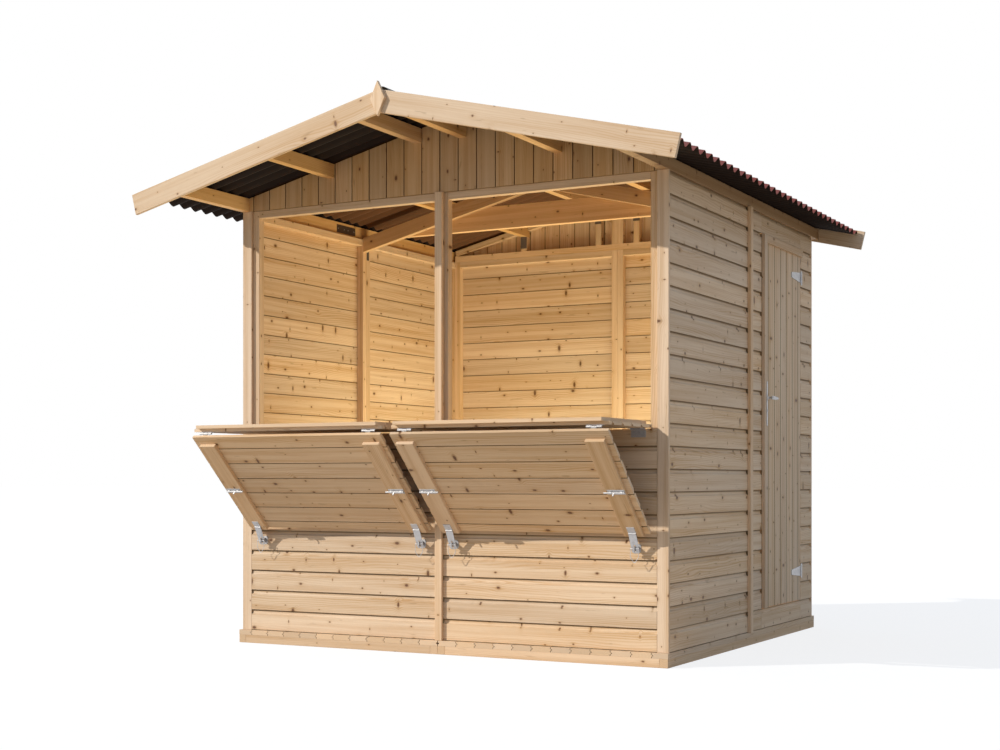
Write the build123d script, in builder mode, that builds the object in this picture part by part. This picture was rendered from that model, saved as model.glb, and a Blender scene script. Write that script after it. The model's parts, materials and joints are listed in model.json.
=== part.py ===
"""Wooden market hut with two fold-down counters, a side door and a corrugated roof.

Millimetres. The origin is at ground level in the middle of the floor, the sales front faces -Y,
+X is the customer's right and +Z is up. Left and right are as seen from the front.
"""

import os
from math import cos, radians, sin, tan

from build123d import *

os.makedirs("parts", exist_ok=True)

# ------------------------------------------------------------------ driving dimensions
hut_width = 2536.0  # over the boards of the side walls
hut_depth = 2355.0  # over the front and rear centre strips
wall_height = 2315.0  # floor to the tops of the wall panels
roof_pitch = 13.6  # degrees

board_cover = 110.0  # height that one wall board shows
board_thickness = 16.0
stud_width = 40.0
stud_depth = 44.0
strip_width = 42.0
strip_proud = 18.0  # the centre strips stand this far in front of the boards

floor_board_thickness = 26.0
floor_joist_depth = 44.0
floor_joist_width = 44.0
floor_lip = 6.0  # the floor shows this far in front of the strips and the side boards
panel_gap = 1.0  # between two floor panels, and between boards mitred at the ridge
butt_gap = 0.5  # where one batten butts against another

sill_height = 1075.0  # floor to the top of the sales sill
header_height = 38.0
counter_reach = 494.0  # how far the counter boards stand out
counter_batten_thickness = 18.0
counter_batten_width = 60.0
counter_rail_width = 100.0
counter_rail_overhang = 25.0  # the counter's front rail covers the fold
strut_length = 688.0
strut_angle = 44.3  # degrees below level
strut_batten_thickness = 20.0
strut_batten_width = 99.0
hatch_inner_gap = 6.0  # from the centre strip to the hatch boards
hatch_outer_gap = 19.0  # from the corner strip to the hatch boards
hatch_clearance = 5.0  # a shut hatch stays this far from the frame
batten_inset = 21.0  # inner ends of the hatch boards to the battens
batten_outer_inset = 29.0  # outer ends of the hatch boards to the battens
batten_top_inset = 48.0  # fold to the strut battens

door_width = 705.0
door_height = 2084.0
door_gap = 5.0
doorway_shift = 0.75  # the doorway's middle is this far in front of its bay's
door_trim_width = 44.0
door_ledge_width = 110.0
door_ledge_thickness = 28.0
door_ledge_inset = 14.0

front_overhang = 561.0  # front strips to the outer face of the front barge boards
rear_overhang = 142.0
eave_reach = 1556.5  # middle of the hut to the ends of the barge boards
sheet_reach = 1507.0  # middle of the hut to the eave ends of the sheets
barge_depth = 110.0
barge_thickness = 18.0
barge_rise = 35.5  # barge tops over the purlin tops
purlin_width = 46.0
purlin_depth = 68.0
eave_purlin_height = 62.0  # at its outer face
middle_purlin_distance = 680.0
ridge_purlin_distance = 134.0
finial_width = 82.0
finial_height = 173.0
finial_top_over_barge = 39.0

sheet_thickness = 3.0
sheet_height = 30.0
wave_pitch = 93.0
sheet_end_gap = 2.0  # between the outermost waves and the barge boards
ridge_gap = 5.0  # each sheet stops this far from the ridge line
seat_gap = 0.3  # under curved sheets
cap_thickness = 4.0
cap_reach = 150.0
cap_roll_reach = 45.0
cap_roll_rise = 17.0

truss_thickness = 40.0  # the tie stands behind the rafters
rafter_depth = 84.0
tie_depth = 135.0

knuckle_radius = 4.5
knuckle_gap = 0.5
leaf_thickness = 2.5
hinge_length = 78.0
sill_leaf_height = 34.0
fold_leaf_width = 30.0
sill_hinge_standoff = 6.0  # pin to the face of the counter boards
fold_hinge_standoff = 9.0  # pin to the faces of both leaves at the fold
hinge_inset = 38.0  # end of the hatch boards to the hinge
sill_pin_drop = 2.0  # pin below the top of the sill
fold_gap = 6.0  # between counter boards and strut boards

hasp_width = 40.0
hasp_plate_length = 42.0
hasp_flap_length = 106.0
hasp_flap_thickness = 3.0
hasp_lean = 20.0  # degrees between the flap and the strut
hasp_inset = 26.0  # strut's lower edge to the hasp's pin
hasp_pin_standoff = 4.0
slot_width = 9.0
slot_rim = 7.0
slot_length = 38.0

staple_height = 24.0
staple_thickness = 4.0
staple_reach = 54.0
staple_level = 498.0  # above the floor
staple_base_height = 50.0
linchpin_diameter = 5.0
linchpin_length = 46.0
linchpin_setback = 8.0  # tip of the staple to the pin
bail_wire = 3.0
bail_drop = 72.0
bail_shoulder = 40.0  # pin to where the bail starts to narrow
bail_bend = 7.0

bolt_length = 88.0
bolt_diameter = 9.0
bolt_rod_show = 18.0
bolt_plate_height = 30.0
bolt_plate_thickness = 2.0
bolt_knob_width = 6.0
bolt_knob_drop = 20.0
bolt_knob_place = 54.5  # batten's edge to the knob
bolt_place = 378.0  # end of the strut boards at the fold to the bolts

strap_length = 176.0
strap_root = 62.0
strap_tip = 30.0
strap_thickness = 4.0
door_knuckle_radius = 5.5
door_knuckle_space = 2.0  # round the fixed knuckle
door_pin_standoff = 6.0
door_leaf_width = 26.0
door_leaf_height = 84.0
strap_levels = (287.0, 2035.0)  # above the floor

handle_level = 1287.0  # above the floor
handle_plate_width = 18.0
handle_plate_height = 250.0
handle_plate_thickness = 3.0
handle_plate_below = 157.0
handle_plate_inset = 2.0  # to the edge of the trim strip
handle_neck_diameter = 16.0
handle_neck_length = 34.0
lever_length = 108.0
lever_height = 20.0
lever_thickness = 11.0

# ------------------------------------------------------------------ derived levels and planes
floor_top = floor_joist_depth + floor_board_thickness
wall_top = floor_top + wall_height
sill_top = floor_top + sill_height
header_bottom = wall_top - header_height
half_width = hut_width / 2
half_depth = hut_depth / 2
wall_thickness = board_thickness + stud_depth
inner_half_width = half_width - wall_thickness
board_face = half_depth - strip_proud  # outer faces of the front and rear boards
frame_face = board_face - board_thickness  # outer faces of the front and rear frames
frame_back = frame_face - stud_depth
side_frame_face = half_width - board_thickness
floor_half_width = half_width + floor_lip
floor_half_depth = half_depth + floor_lip

slope = tan(radians(roof_pitch))
slope_cos = cos(radians(roof_pitch))
slope_sin = sin(radians(roof_pitch))
roof_apex = wall_top + eave_purlin_height + slope * half_width
front_end = -half_depth - front_overhang
rear_end = half_depth + rear_overhang
roof_front = front_end + barge_thickness
roof_rear = rear_end - barge_thickness


def roof_line(distance):
    """Height of the purlin tops at a distance from the ridge."""
    return roof_apex - slope * abs(distance)


# ------------------------------------------------------------------ helpers
def block(x, y, z):
    """Add a block that fills three (low, high) ranges."""
    with Locations(((x[0] + x[1]) / 2, (y[0] + y[1]) / 2, (z[0] + z[1]) / 2)):
        Box(x[1] - x[0], y[1] - y[0], z[1] - z[0])


def on_side(side, near, far):
    """The (low, high) range between two distances on one side of the middle."""
    return tuple(sorted((side * near, side * far)))


def prism_along_y(points, y):
    """Add a prism with this outline in X and Z between two Y places."""
    with BuildSketch(Plane.XZ.offset(-y[1])) as outline:
        with BuildLine():
            Polyline(*points, close=True)
        make_face()
    extrude(outline.sketch, amount=y[1] - y[0])


def pin_along_x(radius, x, y, z):
    """Add a round pin that lies along X."""
    with BuildSketch(Plane.YZ.offset(x[0])) as outline:
        with Locations((y, z)):
            Circle(radius)
    extrude(outline.sketch, amount=x[1] - x[0])


def save(built, label):
    """Label a finished piece and write it out."""
    built.part.label = label
    export_step(built.part, f"parts/{label}.step")


both_sides = (-1, 1)
side_names = {-1: "left", 1: "right"}

# ------------------------------------------------------------------ floor, four panels
with BuildPart() as floor_runners:
    runner_start = floor_half_width - floor_joist_width
    floor_y = (-floor_half_depth, floor_half_depth)
    block((-floor_joist_width, floor_joist_width), floor_y, (0, floor_joist_depth))
    for side in both_sides:
        block(on_side(side, runner_start, floor_half_width), floor_y, (0, floor_joist_depth))
save(floor_runners, "floor_runners")

with BuildPart() as floor_joists:
    joist_places = (
        floor_half_depth - floor_joist_width,
        (floor_half_depth - floor_joist_width) / 2,
        0,
    )
    for side in both_sides:
        joist_x = on_side(side, floor_joist_width, runner_start)
        for end in both_sides:
            for near in joist_places:
                block(joist_x, on_side(end, near, near + floor_joist_width), (0, floor_joist_depth))
save(floor_joists, "floor_joists")

with BuildPart() as floor_boards:
    for side in both_sides:
        for end in both_sides:
            block(
                on_side(side, panel_gap / 2, floor_half_width),
                on_side(end, panel_gap / 2, floor_half_depth),
                (floor_joist_depth, floor_top),
            )
save(floor_boards, "floor_boards")

# ------------------------------------------------------------------ front and rear walls
front_y = (-board_face, -frame_face)
rear_y = (frame_face, board_face)
front_frame_y = (-frame_face, -frame_back)
rear_frame_y = (frame_back, frame_face)
jamb_inner = inner_half_width - stud_width

with BuildPart() as front_boards:
    for side in both_sides:
        block(on_side(side, strip_width / 2, inner_half_width), front_y, (floor_top, sill_top))
save(front_boards, "front_boards")

with BuildPart() as rear_boards:
    for side in both_sides:
        block(on_side(side, strip_width / 2, inner_half_width), rear_y, (floor_top, wall_top))
save(rear_boards, "rear_boards")

for frame_y, wall in ((front_frame_y, "front"), (rear_frame_y, "rear")):
    with BuildPart() as posts:
        block((-stud_width, stud_width), frame_y, (floor_top, wall_top))
        for side in both_sides:
            block(on_side(side, jamb_inner, inner_half_width), frame_y, (floor_top, wall_top))
    save(posts, f"{wall}_posts")

    with BuildPart() as rails:
        for side in both_sides:
            across = on_side(side, stud_width, jamb_inner)
            block(across, frame_y, (floor_top, floor_top + stud_width))
            block(across, frame_y, (sill_top - stud_width, sill_top))
            block(across, frame_y, (header_bottom, wall_top))
    save(rails, f"{wall}_rails")

with BuildPart() as corner_strips:
    for side in both_sides:
        for end in both_sides:
            block(
                on_side(side, inner_half_width, half_width),
                on_side(end, frame_face, board_face),
                (floor_top, wall_top),
            )
save(corner_strips, "corner_strips")

with BuildPart() as centre_strips:
    for end in both_sides:
        block(
            (-strip_width / 2, strip_width / 2),
            on_side(end, frame_face, half_depth),
            (floor_top, wall_top),
        )
        block(
            on_side(end, side_frame_face, half_width + strip_proud),
            (-strip_width / 2, strip_width / 2),
            (floor_top, wall_top),
        )
save(centre_strips, "centre_strips")

# ------------------------------------------------------------------ side walls
left_x = (-half_width, -side_frame_face)
right_x = (side_frame_face, half_width)
panel_y = (strip_width / 2, frame_face)
bay_end = frame_face - stud_width  # the side wall's rear bay runs from its middle post to here
doorway_width = door_width + 2 * door_gap
doorway_start = (stud_width + bay_end - doorway_width) / 2 - doorway_shift
doorway_y = (doorway_start, doorway_start + doorway_width)
doorway_z = (floor_top + board_cover, floor_top + board_cover + door_height + 2 * door_gap)

with BuildPart() as left_boards:
    for end in both_sides:
        block(left_x, on_side(end, *panel_y), (floor_top, wall_top))
save(left_boards, "left_boards")

with BuildPart() as right_front_boards:
    block(right_x, on_side(-1, *panel_y), (floor_top, wall_top))
save(right_front_boards, "right_front_boards")

with BuildPart() as right_boards_beside_door:
    block(right_x, (panel_y[0], doorway_y[0]), (floor_top, wall_top))
    block(right_x, (doorway_y[1], panel_y[1]), (floor_top, wall_top))
save(right_boards_beside_door, "right_boards_beside_door")

with BuildPart() as right_boards_over_door:
    block(right_x, doorway_y, (doorway_z[1], wall_top))
save(right_boards_over_door, "right_boards_over_door")

with BuildPart() as right_boards_under_door:
    block(right_x, doorway_y, (floor_top, doorway_z[0]))
save(right_boards_under_door, "right_boards_under_door")

with BuildPart() as side_posts:
    for side in both_sides:
        frame_x = on_side(side, inner_half_width, side_frame_face)
        block(frame_x, (-stud_width, stud_width), (floor_top, wall_top))
        for end in both_sides:
            block(frame_x, on_side(end, bay_end, frame_face), (floor_top, wall_top))
    door_frame_x = (inner_half_width, side_frame_face)
    block(door_frame_x, (doorway_y[0] - stud_width, doorway_y[0]), (floor_top, wall_top))
    block(door_frame_x, (doorway_y[1], doorway_y[1] + stud_width), (floor_top, wall_top))
save(side_posts, "side_posts")

with BuildPart() as side_rails:
    left_frame_x = on_side(-1, inner_half_width, side_frame_face)
    rail_levels = (floor_top, sill_top - stud_width, wall_top - stud_width)
    for level in rail_levels:
        rail_z = (level, level + stud_width)
        for end in both_sides:
            block(left_frame_x, on_side(end, stud_width, bay_end), rail_z)
        block(door_frame_x, (-bay_end, -stud_width), rail_z)
        block(door_frame_x, (stud_width, doorway_y[0] - stud_width), rail_z)
        block(door_frame_x, (doorway_y[1] + stud_width, bay_end), rail_z)
    block(door_frame_x, doorway_y, (floor_top, floor_top + stud_width))
    block(door_frame_x, doorway_y, (doorway_z[1], doorway_z[1] + stud_width))
save(side_rails, "side_rails")

# ------------------------------------------------------------------ roof frame
purlin_distances = {
    "eave": half_width - purlin_width / 2,
    "middle": middle_purlin_distance,
    "ridge": ridge_purlin_distance,
}


def purlin_bottom(name):
    """Height of a purlin's level underside."""
    if name == "eave":
        return wall_top
    return roof_line(purlin_distances[name]) - purlin_depth


def purlin_outline(side, name):
    """Section of a purlin, its top bevelled to the roof slope."""
    near = purlin_distances[name] - purlin_width / 2
    far = purlin_distances[name] + purlin_width / 2
    return (
        (side * near, purlin_bottom(name)),
        (side * far, purlin_bottom(name)),
        (side * far, roof_line(far)),
        (side * near, roof_line(near)),
    )


with BuildPart() as purlins:
    for side in both_sides:
        for name in purlin_distances:
            prism_along_y(purlin_outline(side, name), (roof_front, roof_rear))
save(purlins, "purlins")


def purlin_notches(side, y):
    """Cut the seats of one side's purlins out of an upright board."""
    for name, distance in purlin_distances.items():
        near = distance - purlin_width / 2
        far = distance + purlin_width / 2
        top = roof_line(near) + purlin_depth
        with Locations((side * distance, (y[0] + y[1]) / 2, (purlin_bottom(name) + top) / 2)):
            Box(far - near, y[1] - y[0], top - purlin_bottom(name), mode=Mode.SUBTRACT)


def gable_outline(side):
    """Half a gable, from the ridge line to the side wall."""
    return (
        (side * panel_gap / 2, wall_top),
        (side * half_width, wall_top),
        (side * half_width, roof_line(half_width)),
        (side * panel_gap / 2, roof_line(panel_gap / 2)),
    )


for gable_y, wall in ((front_y, "front"), (rear_y, "rear")):
    with BuildPart() as gable:
        for side in both_sides:
            prism_along_y(gable_outline(side), gable_y)
            purlin_notches(side, gable_y)
    save(gable, f"{wall}_gable")

with BuildPart() as gable_rails:
    for frame_y in (front_frame_y, rear_frame_y):
        block((-inner_half_width, inner_half_width), frame_y, (wall_top, wall_top + stud_width))
save(gable_rails, "gable_rails")

rafter_y = (-truss_thickness, 0)
tie_y = (0, truss_thickness)
rafter_drop = purlin_depth  # rafter tops below the purlin tops
tie_top = wall_top + tie_depth
rafter_bottom_drop = rafter_drop + rafter_depth / slope_cos
truss_reach = half_width - purlin_width


def distance_at(level, drop):
    """Distance from the ridge where a line under the roof line reaches a level."""
    return (roof_apex - drop - level) / slope


with BuildPart() as truss_rafters:
    for side in both_sides:
        near, far = panel_gap / 2, inner_half_width
        outline = (
            (side * near, roof_line(near) - rafter_bottom_drop),
            (side * far, roof_line(far) - rafter_bottom_drop),
            (side * far, roof_line(far) - rafter_drop),
            (side * near, roof_line(near) - rafter_drop),
        )
        prism_along_y(outline, rafter_y)
        purlin_notches(side, rafter_y)
save(truss_rafters, "truss_rafters")

with BuildPart() as truss_tie:
    tie_shoulder = distance_at(tie_top, rafter_drop)
    prism_along_y(
        (
            (-truss_reach, wall_top),
            (truss_reach, wall_top),
            (truss_reach, roof_line(truss_reach) - rafter_drop),
            (tie_shoulder, tie_top),
            (-tie_shoulder, tie_top),
            (-truss_reach, roof_line(truss_reach) - rafter_drop),
        ),
        tie_y,
    )
    for side in both_sides:
        purlin_notches(side, tie_y)
save(truss_tie, "truss_tie")

# ------------------------------------------------------------------ roof covering
sheet_length = roof_rear - roof_front - 2 * sheet_end_gap
half_wave_count = round(sheet_length / (wave_pitch / 2))
half_wave = sheet_length / half_wave_count
wave_rise = (sheet_height - sheet_thickness) / 2
wave_radius = (half_wave**2 / 4 + wave_rise**2) / (2 * wave_rise)
sheet_run = (sheet_reach - ridge_gap) / slope_cos


def wave_arc(index, offset):
    """Start, middle and end of one half wave, offset from the middle of the sheet."""
    bulge = 1 if index % 2 == 0 else -1
    radius = wave_radius + bulge * offset
    centre_y = (index + 0.5) * half_wave - sheet_length / 2
    centre_z = sheet_thickness / 2 + wave_rise + bulge * (wave_rise - wave_radius)
    run = radius * half_wave / 2 / wave_radius
    rise = radius * bulge * (wave_radius - wave_rise) / wave_radius
    return (
        (centre_y - run, centre_z + rise),
        (centre_y, centre_z + bulge * radius),
        (centre_y + run, centre_z + rise),
    )


with BuildPart() as roof_sheet_right:
    sheet_middle_y = (roof_front + roof_rear) / 2
    sheet_plane = Plane(
        origin=(
            ridge_gap + slope_sin * seat_gap,
            sheet_middle_y,
            roof_line(ridge_gap) + slope_cos * seat_gap,
        ),
        x_dir=(0, 1, 0),
        z_dir=(slope_cos, 0, -slope_sin),
    )
    with BuildSketch(sheet_plane):
        with BuildLine():
            for index in range(half_wave_count):
                ThreePointArc(*wave_arc(index, sheet_thickness / 2))
                ThreePointArc(*wave_arc(index, -sheet_thickness / 2))
            last = half_wave_count - 1
            Line(wave_arc(0, sheet_thickness / 2)[0], wave_arc(0, -sheet_thickness / 2)[0])
            Line(wave_arc(last, sheet_thickness / 2)[2], wave_arc(last, -sheet_thickness / 2)[2])
        make_face()
    extrude(amount=sheet_run)
save(roof_sheet_right, "roof_sheet_right")

with BuildPart() as roof_sheet_left:
    mirror(roof_sheet_right.part, about=Plane.YZ)
save(roof_sheet_left, "roof_sheet_left")


def cap_line(distance, lift):
    """Height over the wave crests at a distance from the ridge."""
    return roof_line(distance) + (sheet_height + 2 * seat_gap) / slope_cos + lift


with BuildPart() as ridge_cap:
    with BuildSketch(Plane.XZ.offset(-roof_rear)):
        with BuildLine():
            for lift in (0, cap_thickness):
                for side in both_sides:
                    Line(
                        (side * cap_reach, cap_line(cap_reach, lift)),
                        (side * cap_roll_reach, cap_line(cap_roll_reach, lift)),
                    )
                ThreePointArc(
                    (-cap_roll_reach, cap_line(cap_roll_reach, lift)),
                    (0, cap_line(0, lift) + cap_roll_rise),
                    (cap_roll_reach, cap_line(cap_roll_reach, lift)),
                )
            for side in both_sides:
                Line(
                    (side * cap_reach, cap_line(cap_reach, 0)),
                    (side * cap_reach, cap_line(cap_reach, cap_thickness)),
                )
        make_face()
    extrude(amount=roof_rear - roof_front)
save(ridge_cap, "ridge_cap")


def barge_outline(side):
    """A barge board, plumb at the ridge and cut square at the eave."""
    top = barge_rise
    drop = barge_depth / slope_cos
    foot = eave_reach - barge_depth * slope_sin
    return (
        (side * panel_gap / 2, roof_line(panel_gap / 2) + top),
        (side * eave_reach, roof_line(eave_reach) + top),
        (side * foot, roof_line(foot) + top - drop),
        (side * panel_gap / 2, roof_line(panel_gap / 2) + top - drop),
    )


barge_ends = {
    "front": (front_end, front_end + barge_thickness),
    "rear": (rear_end - barge_thickness, rear_end),
}
for wall, barge_y in barge_ends.items():
    with BuildPart() as barge_boards:
        for side in both_sides:
            prism_along_y(barge_outline(side), barge_y)
    save(barge_boards, f"{wall}_barge_boards")

with BuildPart() as finials:
    finial_top = roof_line(0) + barge_rise + finial_top_over_barge
    finial_middle = finial_top - finial_height / 2
    diamond = (
        (0, finial_top),
        (finial_width / 2, finial_middle),
        (0, finial_top - finial_height),
        (-finial_width / 2, finial_middle),
    )
    prism_along_y(diamond, (front_end - barge_thickness, front_end))
    prism_along_y(diamond, (rear_end, rear_end + barge_thickness))
save(finials, "finials")

# ------------------------------------------------------------------ door
door_y = (doorway_y[0] + door_gap, doorway_y[1] - door_gap)
door_z = (doorway_z[0] + door_gap, doorway_z[1] - door_gap)
door_pin_x = half_width + door_pin_standoff
door_pin_y = doorway_y[1] - door_gap / 2
door_knuckle_height = strap_root / 3

with BuildPart() as door_boards:
    block(right_x, door_y, door_z)
save(door_boards, "door_boards")

with BuildPart() as door_ledges:
    ledge_x = (side_frame_face - door_ledge_thickness, side_frame_face)
    ledge_y = (door_y[0] + door_ledge_inset, door_y[1] - door_ledge_inset)
    ledge_centres = [floor_top + level for level in strap_levels]
    ledge_centres.append(sum(ledge_centres) / 2)
    for centre in ledge_centres:
        block(ledge_x, ledge_y, (centre - door_ledge_width / 2, centre + door_ledge_width / 2))
save(door_ledges, "door_ledges")

with BuildPart() as door_trim:
    trim_x = (half_width, half_width + strip_proud)
    block(trim_x, (door_y[0], door_y[0] + door_trim_width), door_z)
    top_trim_y = (door_y[0] + door_trim_width + butt_gap, door_y[1])
    block(trim_x, top_trim_y, (door_z[1] - strip_width, door_z[1]))
save(door_trim, "door_trim")

with BuildPart() as door_straps:
    for level in strap_levels:
        centre = floor_top + level
        with BuildSketch(Plane.YZ.offset(half_width)):
            with BuildLine():
                Polyline(
                    (door_pin_y, centre - strap_root / 2),
                    (door_pin_y, centre + strap_root / 2),
                    (door_pin_y - strap_length, centre + strap_tip / 2),
                    (door_pin_y - strap_length, centre - strap_tip / 2),
                    close=True,
                )
            make_face()
        extrude(amount=strap_thickness)
        for offset in (-1, 1):
            low = centre + (offset - 0.5) * door_knuckle_height + knuckle_gap / 2
            with BuildSketch(Plane.XY.offset(low)):
                with Locations((door_pin_x, door_pin_y)):
                    Circle(door_knuckle_radius)
            extrude(amount=door_knuckle_height - knuckle_gap)
        slot_depth = 2 * (door_knuckle_radius + door_knuckle_space)
        with Locations((half_width + strap_thickness / 2, door_pin_y, centre)):
            Box(2 * strap_thickness, slot_depth, door_knuckle_height, mode=Mode.SUBTRACT)
save(door_straps, "door_straps")

with BuildPart() as door_handle:
    plate_face = half_width + strip_proud
    plate_end = door_y[0] + door_trim_width - handle_plate_inset
    plate_y = (plate_end - handle_plate_width, plate_end)
    plate_x = (plate_face, plate_face + handle_plate_thickness)
    handle_z = floor_top + handle_level
    plate_bottom = handle_z - handle_plate_below
    neck_y = sum(plate_y) / 2
    lever_x = plate_x[1] + handle_neck_length
    block(plate_x, plate_y, (plate_bottom, plate_bottom + handle_plate_height))
    pin_along_x(handle_neck_diameter / 2, (plate_face, lever_x), neck_y, handle_z)
    block(
        (lever_x - lever_thickness, lever_x),
        (neck_y - handle_neck_diameter / 2, neck_y - handle_neck_diameter / 2 + lever_length),
        (handle_z - lever_height / 2, handle_z + lever_height / 2),
    )
save(door_handle, "door_handle")

# ------------------------------------------------------------------ hatches
hatch_inner = strip_width / 2 + hatch_inner_gap
hatch_outer = inner_half_width - hatch_outer_gap
batten_inner = hatch_inner + batten_inset
batten_outer = hatch_outer - batten_outer_inset
# Outer face of a shut hatch, from the middle of the hut.
shut_face = frame_face + hatch_clearance + board_thickness
sill_pin_y = -(shut_face + sill_hinge_standoff)
sill_pin_z = sill_top - sill_pin_drop
counter_root = sill_pin_y - (hatch_clearance + sill_pin_drop)
counter_bottom = sill_pin_z + sill_hinge_standoff
counter_top = counter_bottom + board_thickness
counter_front = -half_depth - counter_reach
fold_pin_y = counter_front - fold_gap / 2
fold_pin_z = counter_bottom - fold_hinge_standoff
hinge_places = (hatch_inner + hinge_inset, hatch_outer - hinge_inset - hinge_length)

strut_cos = cos(radians(strut_angle))
strut_sin = sin(radians(strut_angle))
# Along the strut's plane Y runs from the fold to the foot, and Z points back to the wall.
strut_plane = Plane(
    origin=(0, fold_pin_y, fold_pin_z), x_dir=(1, 0, 0), z_dir=(0, strut_sin, strut_cos)
)
strut_start = fold_gap / 2
strut_end = strut_start + strut_length
strut_board_z = (-fold_hinge_standoff - board_thickness, -fold_hinge_standoff)
strut_batten_z = (strut_board_z[0] - strut_batten_thickness, strut_board_z[0])
batten_face = strut_batten_z[0]

hasp_places = (
    batten_inner + strut_batten_width / 2,
    batten_outer - strut_batten_width / 2,
)
hasp_pin_local = (strut_end - hasp_inset, batten_face - hasp_pin_standoff)
hasp_angle = strut_angle + hasp_lean
hasp_cos = cos(radians(hasp_angle))
hasp_sin = sin(radians(hasp_angle))
hasp_pin_y = fold_pin_y + hasp_pin_local[0] * strut_cos + hasp_pin_local[1] * strut_sin
hasp_pin_z = fold_pin_z - hasp_pin_local[0] * strut_sin + hasp_pin_local[1] * strut_cos
hasp_plane = Plane(
    origin=(0, hasp_pin_y, hasp_pin_z), x_dir=(1, 0, 0), z_dir=(0, hasp_sin, hasp_cos)
)


def knuckle_thirds(start, length, outer):
    """X ranges of a hinge's outer two knuckles, or of its middle one."""
    third = length / 3
    ranges = ((0, third), (2 * third, length)) if outer else ((third, 2 * third),)
    return [(start + low + knuckle_gap / 2, start + high - knuckle_gap / 2) for low, high in ranges]


def hatch_x(side, start, length):
    """X start of something that begins at a distance from the middle, on either side."""
    return side * start if side > 0 else -start - length


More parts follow.
